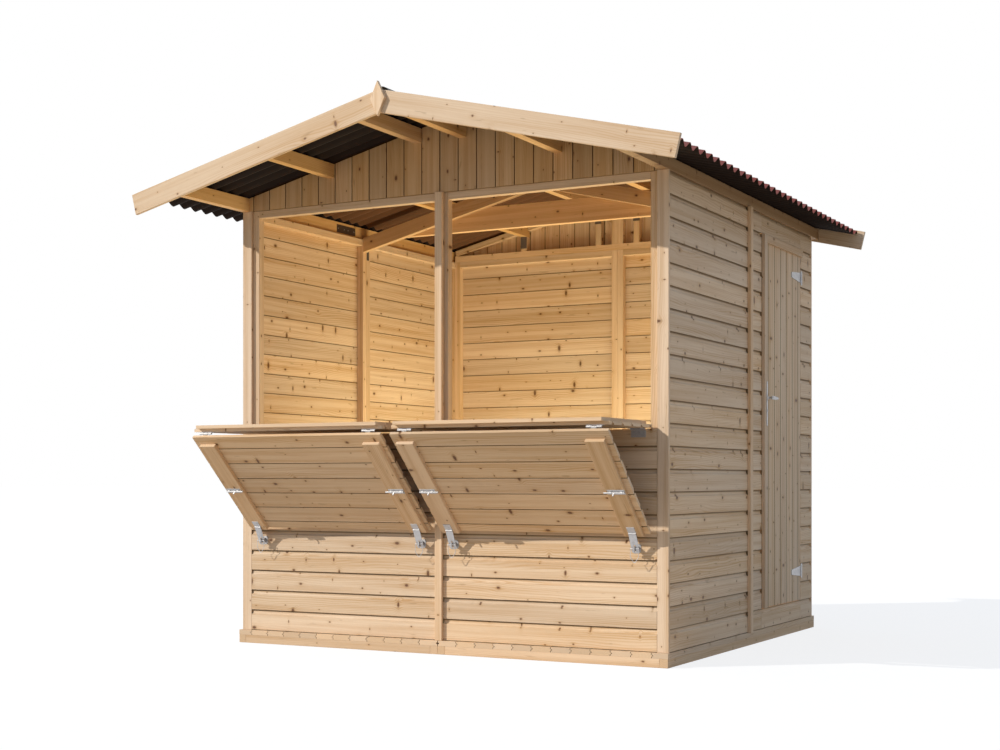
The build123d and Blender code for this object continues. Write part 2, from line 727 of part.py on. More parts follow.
for side in both_sides:
    name = side_names[side]
    hatch_range = on_side(side, hatch_inner, hatch_outer)

    # the counter leaf: boards below, battens on top
    with BuildPart() as counter_boards:
        block(hatch_range, (counter_front, counter_root), (counter_bottom, counter_top))
    save(counter_boards, f"counter_{name}_boards")

    with BuildPart() as counter_battens:
        batten_z = (counter_top, counter_top + counter_batten_thickness)
        rail_front = counter_front - counter_rail_overhang
        rail_y = (rail_front, rail_front + counter_rail_width)
        block(on_side(side, batten_inner, batten_outer), rail_y, batten_z)
        back_rail_y = (counter_root - counter_batten_width, counter_root)
        end_y = (rail_y[1] + butt_gap, back_rail_y[0] - butt_gap)
        for near in (batten_inner, batten_outer - counter_batten_width):
            block(on_side(side, near, near + counter_batten_width), end_y, batten_z)
        block(on_side(side, batten_inner, batten_outer), back_rail_y, batten_z)
    save(counter_battens, f"counter_{name}_battens")

    with BuildPart() as counter_hinges:
        for place in hinge_places:
            start = hatch_x(side, place, hinge_length)
            for knuckle in knuckle_thirds(start, hinge_length, outer=True):
                pin_along_x(knuckle_radius, knuckle, sill_pin_y, sill_pin_z)
                block(
                    knuckle,
                    (sill_pin_y - knuckle_radius, sill_pin_y - knuckle_radius + leaf_thickness),
                    (sill_pin_z, counter_bottom),
                )
                block(
                    knuckle,
                    (counter_root - knuckle_radius, sill_pin_y - knuckle_radius + leaf_thickness),
                    (counter_bottom - leaf_thickness, counter_bottom),
                )
            block(
                (start, start + hinge_length),
                (counter_root - sill_leaf_height, sill_pin_y - knuckle_radius - knuckle_gap),
                (counter_bottom - leaf_thickness, counter_bottom),
            )
            for knuckle in knuckle_thirds(start, hinge_length, outer=True):
                pin_along_x(knuckle_radius, knuckle, fold_pin_y, fold_pin_z)
                block(
                    knuckle,
                    (fold_pin_y, fold_pin_y + knuckle_radius),
                    (fold_pin_z, counter_bottom),
                )
            block(
                (start, start + hinge_length),
                (fold_pin_y + knuckle_gap, counter_front + fold_leaf_width),
                (counter_bottom - leaf_thickness, counter_bottom),
            )
    save(counter_hinges, f"counter_{name}_hinges")

    # the strut leaf: boards behind, battens in front
    with BuildPart(strut_plane) as strut_boards:
        block(hatch_range, (strut_start, strut_end), strut_board_z)
    save(strut_boards, f"strut_{name}_boards")

    with BuildPart(strut_plane) as strut_battens:
        batten_run = (strut_start + batten_top_inset, strut_end)
        for near in (batten_inner, batten_outer - strut_batten_width):
            block(on_side(side, near, near + strut_batten_width), batten_run, strut_batten_z)
    save(strut_battens, f"strut_{name}_battens")

    with BuildPart(strut_plane) as strut_fittings:
        # hinge leaves at the fold
        leaf_z = (-fold_hinge_standoff, -fold_hinge_standoff + leaf_thickness)
        for place in hinge_places:
            start = hatch_x(side, place, hinge_length)
            for knuckle in knuckle_thirds(start, hinge_length, outer=False):
                block(knuckle, (0, knuckle_radius), (-fold_hinge_standoff, 0))
                with Locations(Location(((knuckle[0] + knuckle[1]) / 2, 0, 0), (0, 90, 0))):
                    Cylinder(knuckle_radius, knuckle[1] - knuckle[0])
                block(knuckle, (0, strut_start + fold_leaf_width), leaf_z)
            block(
                (start, start + hinge_length),
                (strut_start + knuckle_radius, strut_start + fold_leaf_width),
                leaf_z,
            )
        # the fixed halves of the hasps
        plate_z = (batten_face - leaf_thickness, batten_face)
        for place in hasp_places:
            centre = side * place
            plate_end = hasp_pin_local[0]
            block(
                (centre - hasp_width / 2, centre + hasp_width / 2),
                (plate_end - hasp_plate_length, plate_end - hasp_pin_standoff - knuckle_gap),
                plate_z,
            )
            for knuckle in knuckle_thirds(centre - hasp_width / 2, hasp_width, outer=True):
                centre_x = (knuckle[0] + knuckle[1]) / 2
                with Locations(Location((centre_x, *hasp_pin_local), (0, 90, 0))):
                    Cylinder(hasp_pin_standoff, knuckle[1] - knuckle[0])
                block(knuckle, (plate_end - hasp_plate_length / 2, plate_end), plate_z)
        # barrel bolts, drawn back
        bolt_y = strut_start + bolt_place
        bolt_z = (batten_face - bolt_plate_thickness, batten_face)
        bolt_pin_z = batten_face - bolt_plate_thickness - bolt_diameter / 2
        for outer_edge, inward in ((batten_outer, -1), (batten_inner, 1)):
            edge = side * outer_edge
            turn = side * inward
            plate_x = tuple(sorted((edge, edge + turn * bolt_length)))
            block(plate_x, (bolt_y - bolt_plate_height / 2, bolt_y + bolt_plate_height / 2), bolt_z)
            rod_x = tuple(sorted((edge, edge + turn * (bolt_length + bolt_rod_show))))
            with Locations(Location(((rod_x[0] + rod_x[1]) / 2, bolt_y, bolt_pin_z), (0, 90, 0))):
                Cylinder(bolt_diameter / 2, rod_x[1] - rod_x[0])
            knob_x = edge + turn * bolt_knob_place
            block(
                (knob_x - bolt_knob_width / 2, knob_x + bolt_knob_width / 2),
                (bolt_y - bolt_knob_width / 2, bolt_y + bolt_knob_width / 2),
                (bolt_pin_z - bolt_knob_drop, bolt_pin_z),
            )
    save(strut_fittings, f"strut_{name}_fittings")

    # the loose halves of the hasps
    with BuildPart(hasp_plane) as hasps:
        flap_z = (-hasp_flap_thickness / 2, hasp_flap_thickness / 2)
        for place in hasp_places:
            centre = side * place
            block(
                (centre - hasp_width / 2, centre + hasp_width / 2),
                (hasp_pin_standoff + knuckle_gap, hasp_flap_length),
                flap_z,
            )
            with Locations((centre, hasp_flap_length - slot_rim - slot_length / 2, 0)):
                Box(slot_width, slot_length, hasp_flap_thickness, mode=Mode.SUBTRACT)
            for knuckle in knuckle_thirds(centre - hasp_width / 2, hasp_width, outer=False):
                with Locations(Location(((knuckle[0] + knuckle[1]) / 2, 0, 0), (0, 90, 0))):
                    Cylinder(hasp_pin_standoff, knuckle[1] - knuckle[0])
                block(knuckle, (0, hasp_flap_length / 4), flap_z)
    save(hasps, f"hasps_{name}")

# ------------------------------------------------------------------ fixed fittings on the hut
with BuildPart() as hinge_plates:
    # fixed halves of the sill hinges
    for side in both_sides:
        for place in hinge_places:
            start = hatch_x(side, place, hinge_length)
            plate_y = (-board_face - leaf_thickness, -board_face)
            leaf_top = sill_pin_z - knuckle_radius
            block(
                (start, start + hinge_length),
                plate_y,
                (leaf_top - sill_leaf_height, leaf_top - knuckle_gap),
            )
            for knuckle in knuckle_thirds(start, hinge_length, outer=False):
                pin_along_x(knuckle_radius, knuckle, sill_pin_y, sill_pin_z)
                block(
                    knuckle,
                    (sill_pin_y, -board_face),
                    (sill_pin_z - knuckle_radius, sill_pin_z - knuckle_radius + leaf_thickness),
                )
                block(
                    knuckle,
                    plate_y,
                    (sill_pin_z - 2 * knuckle_radius, sill_pin_z - knuckle_radius + leaf_thickness),
                )
    # fixed halves of the door hinges
    for level in strap_levels:
        centre = floor_top + level
        leaf_start = door_pin_y + door_knuckle_radius + door_knuckle_space
        block(
            (half_width, half_width + leaf_thickness),
            (leaf_start, leaf_start + door_leaf_width),
            (centre - door_leaf_height / 2, centre + door_leaf_height / 2),
        )
        arm_half = (door_knuckle_height - knuckle_gap) / 2
        arm = (centre - arm_half, centre + arm_half)
        block((half_width, half_width + leaf_thickness), (door_pin_y, leaf_start), arm)
        with BuildSketch(Plane.XY.offset(arm[0])):
            with Locations((door_pin_x, door_pin_y)):
                Circle(door_knuckle_radius)
        extrude(amount=arm[1] - arm[0])
save(hinge_plates, "hinge_plates")

staple_z = floor_top + staple_level
staple_tip = -board_face - staple_reach
linchpin_y = staple_tip + linchpin_setback
with BuildPart() as staples:
    for side in both_sides:
        for place in hasp_places:
            centre = side * place
            block(
                (centre - hasp_width / 2, centre + hasp_width / 2),
                (-board_face - leaf_thickness, -board_face),
                (staple_z - staple_base_height / 2, staple_z + staple_base_height / 2),
            )
            block(
                (centre - staple_thickness / 2, centre + staple_thickness / 2),
                (staple_tip, -board_face),
                (staple_z - staple_height / 2, staple_z + staple_height / 2),
            )
            pin_x = (centre - linchpin_length / 2, centre + linchpin_length / 2)
            pin_along_x(linchpin_diameter / 2, pin_x, linchpin_y, staple_z)
            bail_half = linchpin_length / 2 - bail_wire / 2
            with BuildLine(Plane.XZ.offset(-linchpin_y)) as bail_path:
                FilletPolyline(
                    (centre - bail_half, staple_z),
                    (centre - bail_half, staple_z - bail_shoulder),
                    (centre, staple_z - bail_drop),
                    (centre + bail_half, staple_z - bail_shoulder),
                    (centre + bail_half, staple_z),
                    radius=bail_bend,
                )
            with BuildSketch(Plane(bail_path.line @ 0, z_dir=bail_path.line % 0)):
                Circle(bail_wire / 2)
            sweep(path=bail_path.line)
save(staples, "staples")
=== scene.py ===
"""A wooden market hut: spruce boarding, fold-down counters, a side door, a corrugated roof."""

import json
import random
from math import cos, pi, radians, sin, tan

import bmesh
import bpy
from mathutils import Matrix, Vector


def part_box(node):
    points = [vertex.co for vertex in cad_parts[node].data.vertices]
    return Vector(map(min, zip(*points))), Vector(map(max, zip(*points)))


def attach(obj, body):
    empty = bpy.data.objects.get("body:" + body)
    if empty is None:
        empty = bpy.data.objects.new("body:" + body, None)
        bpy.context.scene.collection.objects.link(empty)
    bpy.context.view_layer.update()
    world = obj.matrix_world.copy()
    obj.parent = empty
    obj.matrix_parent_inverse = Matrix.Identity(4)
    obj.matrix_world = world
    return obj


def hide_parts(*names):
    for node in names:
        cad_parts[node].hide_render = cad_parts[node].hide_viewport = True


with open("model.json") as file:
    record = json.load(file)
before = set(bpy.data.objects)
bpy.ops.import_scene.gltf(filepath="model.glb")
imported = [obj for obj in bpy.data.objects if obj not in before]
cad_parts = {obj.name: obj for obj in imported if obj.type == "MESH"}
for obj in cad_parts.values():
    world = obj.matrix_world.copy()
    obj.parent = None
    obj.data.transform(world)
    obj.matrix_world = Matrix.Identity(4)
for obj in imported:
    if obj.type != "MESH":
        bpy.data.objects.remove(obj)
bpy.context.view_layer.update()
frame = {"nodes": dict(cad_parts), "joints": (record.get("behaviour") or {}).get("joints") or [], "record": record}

bl_info = {
    "name": "Wooden market hut",
    "version": (1, 0, 0),
    "blender": (4, 5, 0),
    "location": "View3D > Sidebar > Market Hut",
    "description": "Boards, roofs and fits out a wooden market hut on its timber frame",
    "category": "Object",
}

record = frame["record"]
joints = {joint["name"]: joint for joint in frame["joints"]}
slot_of = {row["node"]: row["material_slot"] for row in record["subparts"]}
body_of = {n: body for body, nodes in record["behaviour"]["bodies"].items() for n in nodes}

X, Y, Z = Vector((1, 0, 0)), Vector((0, 1, 0)), Vector((0, 0, 1))
BOTH = (-1, 1)
SIDES = {-1: "left", 1: "right"}
WELD = 1e-5  # vertices nearer than this are one
SCRAP = 0.012  # no board is narrower than this
SAW_CUT = 0.0002  # half the gap between two timbers sawn from one solid
METAL = 0.0025  # thickness of hinge leaves and plates
SHARP = radians(24)  # an edge that turns more than this isn't shaded smooth
NEAR = 1e-4  # places nearer than this are level with each other
STUD_LIMIT = 0.06  # a timber wider than this is two, side by side
EAVE = 1.1  # the eave purlins lie further out than this


# ------------------------------------------------------------------ what a user may change
def measure(name, description, default, least, most):
    """A length that a user may change."""
    return bpy.props.FloatProperty(
        name=name, description=description, default=default, min=least, max=most, unit="LENGTH"
    )


def paint(name, description, default):
    """A colour that a user may change."""
    return bpy.props.FloatVectorProperty(
        name=name, description=description, default=default, subtype="COLOR", size=3,
        min=0.0, max=1.0,
    )


class HutTimber(bpy.types.PropertyGroup):
    """Sizes of the boards and battens."""

    cover: measure("Board cover", "Height that one wall board shows", 0.110, 0.05, 0.25)
    floor_cover: measure(
        "Floor board cover", "Width that one floor board shows", 0.108, 0.05, 0.25
    )
    gable_cover: measure(
        "Gable board cover", "Width that one gable board shows", 0.1085, 0.05, 0.25
    )
    scoop_height: measure(
        "Scoop height", "Height of the hollow along a wall board's top", 0.022, 0.005, 0.04
    )
    scoop_depth: measure(
        "Scoop depth", "Depth of the hollow along a wall board's top", 0.0095, 0.001, 0.011
    )
    joint_gap: measure(
        "Joint gap", "Open gap under the lip of each wall board", 0.0025, 0.0, 0.008
    )
    lap: measure(
        "Strip lap", "How far the boards run in under the cover strips", 0.012, 0.002, 0.018
    )
    butt_gap: measure(
        "Butt gap", "Gap where the boards butt against a corner strip", 0.0012, 0.0, 0.005
    )
    easing: measure("Eased edges", "Width of the eased edges of sawn timbers", 0.0014, 0.0, 0.004)
    first_strut_joint: measure(
        "First strut joint", "Fold to the first joint in the strut boards", 0.085, 0.02, 0.11
    )
    first_counter_joint: measure(
        "First counter joint", "Sill to the first joint in the counter boards", 0.025, 0.02, 0.11
    )
    stud: measure("Stud width", "Width of a stud in the gable frames", 0.040, 0.02, 0.08)


class HutRoof(bpy.types.PropertyGroup):
    """Shape of the roof and its covering."""

    pitch: bpy.props.FloatProperty(
        name="Roof pitch", description="Slope of the roof",
        default=radians(13.6), min=0.1, max=0.8, unit="ROTATION",
    )
    half_waves: bpy.props.IntProperty(
        name="Half waves", description="Crests and troughs along one roof sheet",
        default=65, min=9, max=199,
    )
    sheet_thickness: measure(
        "Sheet thickness", "Thickness of the corrugated sheet", 0.003, 0.001, 0.008
    )
    cap_radius: measure(
        "Nail cap radius", "Radius of the nail caps on the roof", 0.009, 0.003, 0.02
    )


class HutFinish(bpy.types.PropertyGroup):
    """Colours of the wood, the roof and the metal."""

    pale: paint("Spruce", "Pale early wood", (0.750, 0.572, 0.400))
    amber: paint("Grain", "Darker late wood", (0.530, 0.320, 0.150))
    knot: paint("Knots", "Heart of a knot", (0.130, 0.052, 0.022))
    sheet: paint("Roof sheet", "Weather side of the roof sheets", (0.215, 0.050, 0.042))
    # The underside has two colours: near black outside as painted shade under the eaves, and brown indoors as
    # painted light.
    sheet_underside_painted_shade: paint("Sheet underside", "Underside of the roof sheets", (0.017, 0.009, 0.006))
    sheet_underside_painted_lit: paint(
        "Sheet indoors", "Underside of the roof sheets inside the hut", (0.112, 0.050, 0.022)
    )
    sheet_core: paint("Sheet edge", "Cut edge of the roof sheets", (0.380, 0.130, 0.105))
    ridge: paint("Ridge cap", "Black bitumen ridge cap", (0.030, 0.027, 0.027))
    zinc: paint("Zinc", "Zinc plated steel", (0.530, 0.525, 0.535))


class HutStage(bpy.types.PropertyGroup):
    """Light and camera."""

    camera_place: bpy.props.FloatVectorProperty(
        name="Camera place", description="Where the camera stands", subtype="TRANSLATION",
        size=3, default=(4.0384, -8.0256, 0.8959),
    )
    camera_turn: bpy.props.FloatProperty(
        name="Camera turn", description="Turn of the camera to the left of straight ahead",
        default=radians(28.225), unit="ROTATION",
    )
    sun_direction: bpy.props.FloatVectorProperty(
        name="Light direction", description="Way that the main light travels",
        subtype="DIRECTION", size=3, default=(1.2, 1.0, -0.92),
    )
    sun_strength: bpy.props.FloatProperty(
        name="Main light", description="Strength of the main light",
        default=3.35, min=0.0, max=20.0,
    )
    inside_power: bpy.props.FloatProperty(
        name="Inside light", description="Power of the soft light inside the hut",
        default=54.0, min=0.0, max=200.0, unit="POWER",
    )
    sky_strength: bpy.props.FloatProperty(
        name="Soft light", description="Strength of the soft light all round",
        default=0.42, min=0.0, max=5.0,
    )


# ------------------------------------------------------------------ shapes in their own axes
def axes(grain, across, out, at=(0, 0, 0)):
    """Matrix that lays a timber's own X, Y and Z along these three directions."""
    laid = Matrix((grain, across, out)).transposed().to_4x4()
    laid.translation = at
    return laid


UPRIGHT = Matrix.Identity(4)
ALONG = (axes(X, Y, Z), axes(Y, Z, X), axes(Z, X, Y))  # grain along X, Y or Z


def bounds(solid):
    """Lowest and highest corner of a shape."""
    low = Vector(min(v.co[i] for v in solid.verts) for i in range(3))
    high = Vector(max(v.co[i] for v in solid.verts) for i in range(3))
    return low, high


def between(first, second):
    """Lowest and highest corner of the box between two points."""
    return Vector(map(min, first, second)), Vector(map(max, first, second))


def span(low, high, direction):
    """Lowest and highest reach of a box along a direction that follows one of its axes."""
    return tuple(sorted((low.dot(direction), high.dot(direction))))


def all_of(solid):
    """A shape's vertices, edges and faces."""
    return solid.verts[:] + solid.edges[:] + solid.faces[:]


def drawn_verts(drawn):
    """The vertices that an extrusion made."""
    return [v for v in drawn["geom"] if isinstance(v, bmesh.types.BMVert)]


def turn_outwards(solid):
    """Turn a shape's faces outwards."""
    bmesh.ops.recalc_face_normals(solid, faces=solid.faces)


def close_rims(solid):
    """Fill a shape's open rims."""
    bmesh.ops.holes_fill(solid, edges=[e for e in solid.edges if e.is_boundary])


def bevel(solid, edges, width, segments=1):
    """Bevel some of a shape's edges."""
    bmesh.ops.bevel(
        solid, geom=edges, offset=width, segments=segments, profile=0.5,
        affect="EDGES", clamp_overlap=True, material=-1,
    )


def solids_of(node, turned=UPRIGHT):
    """Merged copies of a frame node's closed solids in turned axes, each with its box."""
    whole = bmesh.new()
    whole.from_mesh(frame["nodes"][node].data)
    bmesh.ops.transform(whole, matrix=turned.inverted(), verts=whole.verts)
    bmesh.ops.remove_doubles(whole, verts=whole.verts, dist=WELD)
    bmesh.ops.dissolve_limit(
        whole, angle_limit=radians(0.5), verts=whole.verts, edges=whole.edges
    )
    whole.verts.index_update()
    groups, count = {}, 0
    for start in whole.verts:
        if start in groups:
            continue
        groups[start] = count
        reached = [start]
        while reached:
            vert = reached.pop()
            for other in (edge.other_vert(vert) for edge in vert.link_edges):
                if other not in groups:
                    groups[other] = count
                    reached.append(other)
        count += 1
    found = []
    for number in range(count):
        solid = whole.copy()
        solid.verts.ensure_lookup_table()
        others = [solid.verts[v.index] for v, group in groups.items() if group != number]
        bmesh.ops.delete(solid, geom=others, context="VERTS")
        found.append((solid, *bounds(solid)))
    whole.free()
    return sorted(found, key=lambda row: tuple(round(c, 4) for c in row[1]))


def boxes_of(node, turned=UPRIGHT):
    """The box of each of a node's solids."""
    boxes = []
    for solid, low, high in solids_of(node, turned):
        solid.free()
        boxes.append((low, high))
    return boxes


def prism(outline, length):
    """A closed shape with this outline in Y and Z, drawn out along X."""
    solid = bmesh.new()
    face = solid.faces.new([solid.verts.new((0, y, z)) for y, z in outline])
    drawn = bmesh.ops.extrude_face_region(solid, geom=[face], use_keep_orig=True)
    bmesh.ops.translate(solid, verts=drawn_verts(drawn), vec=(length, 0, 0))
    turn_outwards(solid)
    return solid


def trim(solid, point, normal):
    """Cut a shape with a plane, drop what lies on the normal's side, and close it."""
    bmesh.ops.bisect_plane(
        solid, geom=all_of(solid), plane_co=point, plane_no=normal, clear_outer=True
    )
    close_rims(solid)


def ease(solid, width, shortest=0.0, turn=0.5, segments=1):
    """Take the sharpness off a shape's edges."""
    solid.normal_update()
    sharp = [
        e for e in solid.edges
        if e.is_manifold and e.calc_length() > shortest and abs(e.calc_face_angle(0)) > turn
    ]
    if sharp and width > 0:
        bevel(solid, sharp, width, segments)


def lay_grain(solid, rng, painted_shade_at=None):
    """Give a timber with its grain along X its grain map, tone, end grain and painted shade in its joints."""
    solid.normal_update()
    grain = solid.loops.layers.uv.new("grain")
    floats = solid.faces.layers.float
    # The joint layer holds how much painted shade darkens each face.
    tone, butt, joint = floats.new("tone"), floats.new("end_grain"), floats.new("joint")
    log = 30  # a board's grain starts anywhere in this length and width
    start, edge, way = rng.uniform(0, log), rng.uniform(0, log), rng.choice(BOTH)
    shade = rng.uniform(-1, 1)
    for face in solid.faces:
        end = abs(face.normal.x) > 0.6
        face[tone] = shade
        face[butt] = float(end)
        face[joint] = painted_shade_at(face.calc_center_median(), end) if painted_shade_at else 0.0
        for loop in face.loops:
            x, y, z = loop.vert.co
            loop[grain].uv = (y + start, z + edge) if end else (way * x + start, y + z + edge)


def add(work, solid, place):
    """Put a finished shape in its place in a piece."""
    bmesh.ops.transform(solid, matrix=place, verts=solid.verts)
    part = bpy.data.meshes.new("part")
    solid.to_mesh(part)
    solid.free()
    work.from_mesh(part)
    bpy.data.meshes.remove(part)


def link(name, data):
    """Put a new object in the scene."""
    thing = bpy.data.objects.new(name, data)
    bpy.context.scene.collection.objects.link(thing)
    return thing


def place_piece(name, work, *nodes, body=None, slot=None, finish=None):
    """Turn a finished shape into a piece that stands for these frame nodes."""
    body = body or body_of[nodes[0]]
    slot = slot or slot_of[nodes[0]]
    mesh = bpy.data.meshes.new(name)
    work.to_mesh(mesh)
    work.free()
    mesh.polygons.foreach_set("use_smooth", [True] * len(mesh.polygons))
    mesh.set_sharp_from_angle(angle=SHARP)
    mesh.materials.append(finish_for(finish or slot))
    piece = link(name, mesh)
    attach(piece, body)
    if nodes:
        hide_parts(*nodes)


# ------------------------------------------------------------------ timbers and boards
def dice(name):
    """Random numbers that are the same each time for one piece."""
    return random.Random(name)


def longest(low, high):
    """The axis along which a box is longest."""
    return max(range(3), key=lambda i: high[i] - low[i])


def timber(work, low, high, rng, turned=UPRIGHT, grain=None):
    """A sawn timber that fills a box, with its grain along the longest side."""
    laid = ALONG[longest(low, high) if grain is None else grain]
    near, far = laid.inverted() @ low, laid.inverted() @ high
    outline = [(near.y, near.z), (far.y, near.z), (far.y, far.z), (near.y, far.z)]
    solid = prism(outline, far.x - near.x)
    ease(solid, bpy.context.scene.hut_timber.easing)
    lay_grain(solid, rng)
    add(work, solid, turned @ laid @ Matrix.Translation((near.x, 0, 0)))


def timbers(work, node, rng, turned=UPRIGHT, grain=None, halve=(), only=None):
    """Copies of a node's solids as sawn timbers, halved along these axes where they are wide."""
    easing = bpy.context.scene.hut_timber.easing
    for solid, low, high in solids_of(node, turned):
        if only and not only(turned @ ((low + high) / 2)):
            solid.free()
            continue
        run = longest(low, high) if grain is None else grain
        parts = [solid]
        for axis in halve:
            if axis != run and (high - low)[axis] > STUD_LIMIT:
                middle, normal = (low + high) / 2, (X, Y, Z)[axis]
                others = [part.copy() for part in parts]
                for part, other in zip(parts, others):
                    trim(part, middle - normal * SAW_CUT, normal)
                    trim(other, middle + normal * SAW_CUT, -normal)
                parts = [half for pair in zip(parts, others) for half in pair]
        for part in parts:
            bmesh.ops.transform(part, matrix=ALONG[run].inverted(), verts=part.verts)
            ease(part, easing)
            lay_grain(part, rng)
            add(work, part, turned @ ALONG[run])


def timber_piece(name, node, finish=None, **how):
    """A piece of sawn timbers that stands for one frame node."""
    work = bmesh.new()
    timbers(work, node, dice(name), **how)
    place_piece(name, work, node, finish=finish)


def shiplap(cover, thick):
    """Section of a wall board: a lip at the bottom, a hollow along the top of its face."""
    t = bpy.context.scene.hut_timber
    gap, hollow, deep = t.joint_gap, t.scoop_height, t.scoop_depth
    lip = thick - deep - 0.0015
    curve = [
        (0.0, 0.0), (0.04, 0.35), (0.14, 0.65), (0.30, 0.86), (0.50, 0.96), (0.75, 1.0),
        (0.93, 1.0), (1.0, 1.0),
    ]
    face = [(cover - hollow + hollow * a, thick - deep * b) for a, b in curve]
    back, deep_back = 0.0026, lip - 0.0012
    return [
        (back, 0), (back, deep_back), (0, deep_back), (0, lip), (gap, lip), (gap, thick - 0.001),
        (gap + 0.001, thick), *face, (cover, deep_back), (cover - back, deep_back),
        (cover - back, 0),
    ]


def both_edges(left, cover):
    """A section whose right edge mirrors its left one."""
    return left + [(cover - y, z) for y, z in reversed(left)]


def close_jointed(cover, thick):
    """Section of a gable board: square edges with a narrow open joint."""
    half, chamfer, deep = 0.0021, 0.0009, 0.009
    return both_edges([
        (0.0028, 0), (0.0028, 0.005), (0, 0.005), (0, thick - deep), (half, thick - deep),
        (half, thick - chamfer), (half + chamfer, thick),
    ], cover)


def vee_jointed(cover, thick):
    """Section of a door board: its edges chamfered to a vee."""
    return both_edges([
        (0.0012, 0), (0.0012, 0.003), (0, 0.003), (0, thick - 0.0065), (0.0006, thick - 0.0065),
        (0.0006, thick - 0.0034), (0.0040, thick),
    ], cover)


def tongued(cover, thick):
    """Section of a floor board: a pointed tongue on one edge and its groove on the other."""
    gap, reach = 0.0016, 0.0075
    groove = [(0.16, 0), (0.30, 0), (0.42, 1), (0.58, 1), (0.70, 0)]
    left = [(gap + reach * a, thick * h) for h, a in groove]
    tongue = [(cover - gap + reach * a * 0.86, thick * h) for h, a in reversed(groove)]
    return [(gap, 0), *left, (gap, thick), (cover - gap, thick), *tongue, (cover - gap, 0)]


def boarding(work, low, high, across, out, cover, section, rng, first=None,
             turned=UPRIGHT, laps=(0, 0), cuts=()):
    """Fill a slab with boards, side by side from its lower edge or from a first edge."""
    grain = across.cross(out)
    bottom, top = span(low, high, across)
    start, end = span(low, high, grain)
    back, face = span(low, high, out)
    start -= laps[0]
    length, thick = end + laps[1] - start, face - back
    edge = bottom if first is None else first

    def painted_shade_at(centre, end):
        """How much painted shade darkens a face: in the joint between two boards, in under a strip, at a gable
        board's ends and along the top of a wall board's hollow.
        """
        if end:
            return 0.85 if section is close_jointed else 0.0
        if not 0.0002 < centre.z < thick - 0.0004:  # the back or the face
            return 0.0
        if centre.x < laps[0] or centre.x > length - laps[1]:
            return 1.0
        if min(centre.y, cover - centre.y) < 0.0030:  # an edge
            return 1.0
        return 0.7 if section is shiplap and centre.y > cover - 0.006 else 0.0

    while edge < top - SCRAP:
        board = prism(section(cover, thick), length)
        left = top - (edge + cover)
        if 0 < left < SCRAP:
            upper = [v for v in board.verts if v.co.y > cover / 2]
            bmesh.ops.translate(board, verts=upper, vec=(0, left, 0))
        elif left < 0:
            trim(board, (0, top - edge, 0), Y)
        if edge < bottom:
            trim(board, (0, bottom - edge, 0), -Y)
        laid = axes(grain, across, out, at=grain * start + across * edge + out * back)
        for point, normal in cuts:
            trim(board, laid.inverted() @ point, laid.to_3x3().inverted() @ normal)
        if board.faces:
            for x in (laps[0], length - laps[1]):
                if 0 < x < length:
                    bmesh.ops.bisect_plane(
                        board, geom=all_of(board), plane_co=(x, 0, 0), plane_no=X
                    )
            lay_grain(board, rng, painted_shade_at)
            add(work, board, turned @ laid)
        else:
            board.free()
        edge += cover


def boarded_piece(name, node, box, across, out, section, **how):
    """A leaf of boards that stands for one frame node."""
    work, cover = bmesh.new(), bpy.context.scene.hut_timber.cover
    boarding(work, *box, across, out, cover, section, dice(name), **how)
    place_piece(name, work, node)


# ------------------------------------------------------------------ roof lines
def roof_apex():
    """Height where the tops of the purlins would meet over the ridge."""
    low, high = min((box for box in boxes_of("purlins") if box[0].x > 0), key=lambda box: box[0].x)
    return high.z + tan(bpy.context.scene.hut_roof.pitch) * low.x


def pitched(side):
    """Axes of one roof slope: X down the slope, Y square to it, from the ridge line."""
    pitch = bpy.context.scene.hut_roof.pitch
    down = Vector((side * cos(pitch), 0, -sin(pitch)))
    off = Vector((side * sin(pitch), 0, cos(pitch)))
    return axes(down, off, down.cross(off), at=(0, 0, roof_apex()))


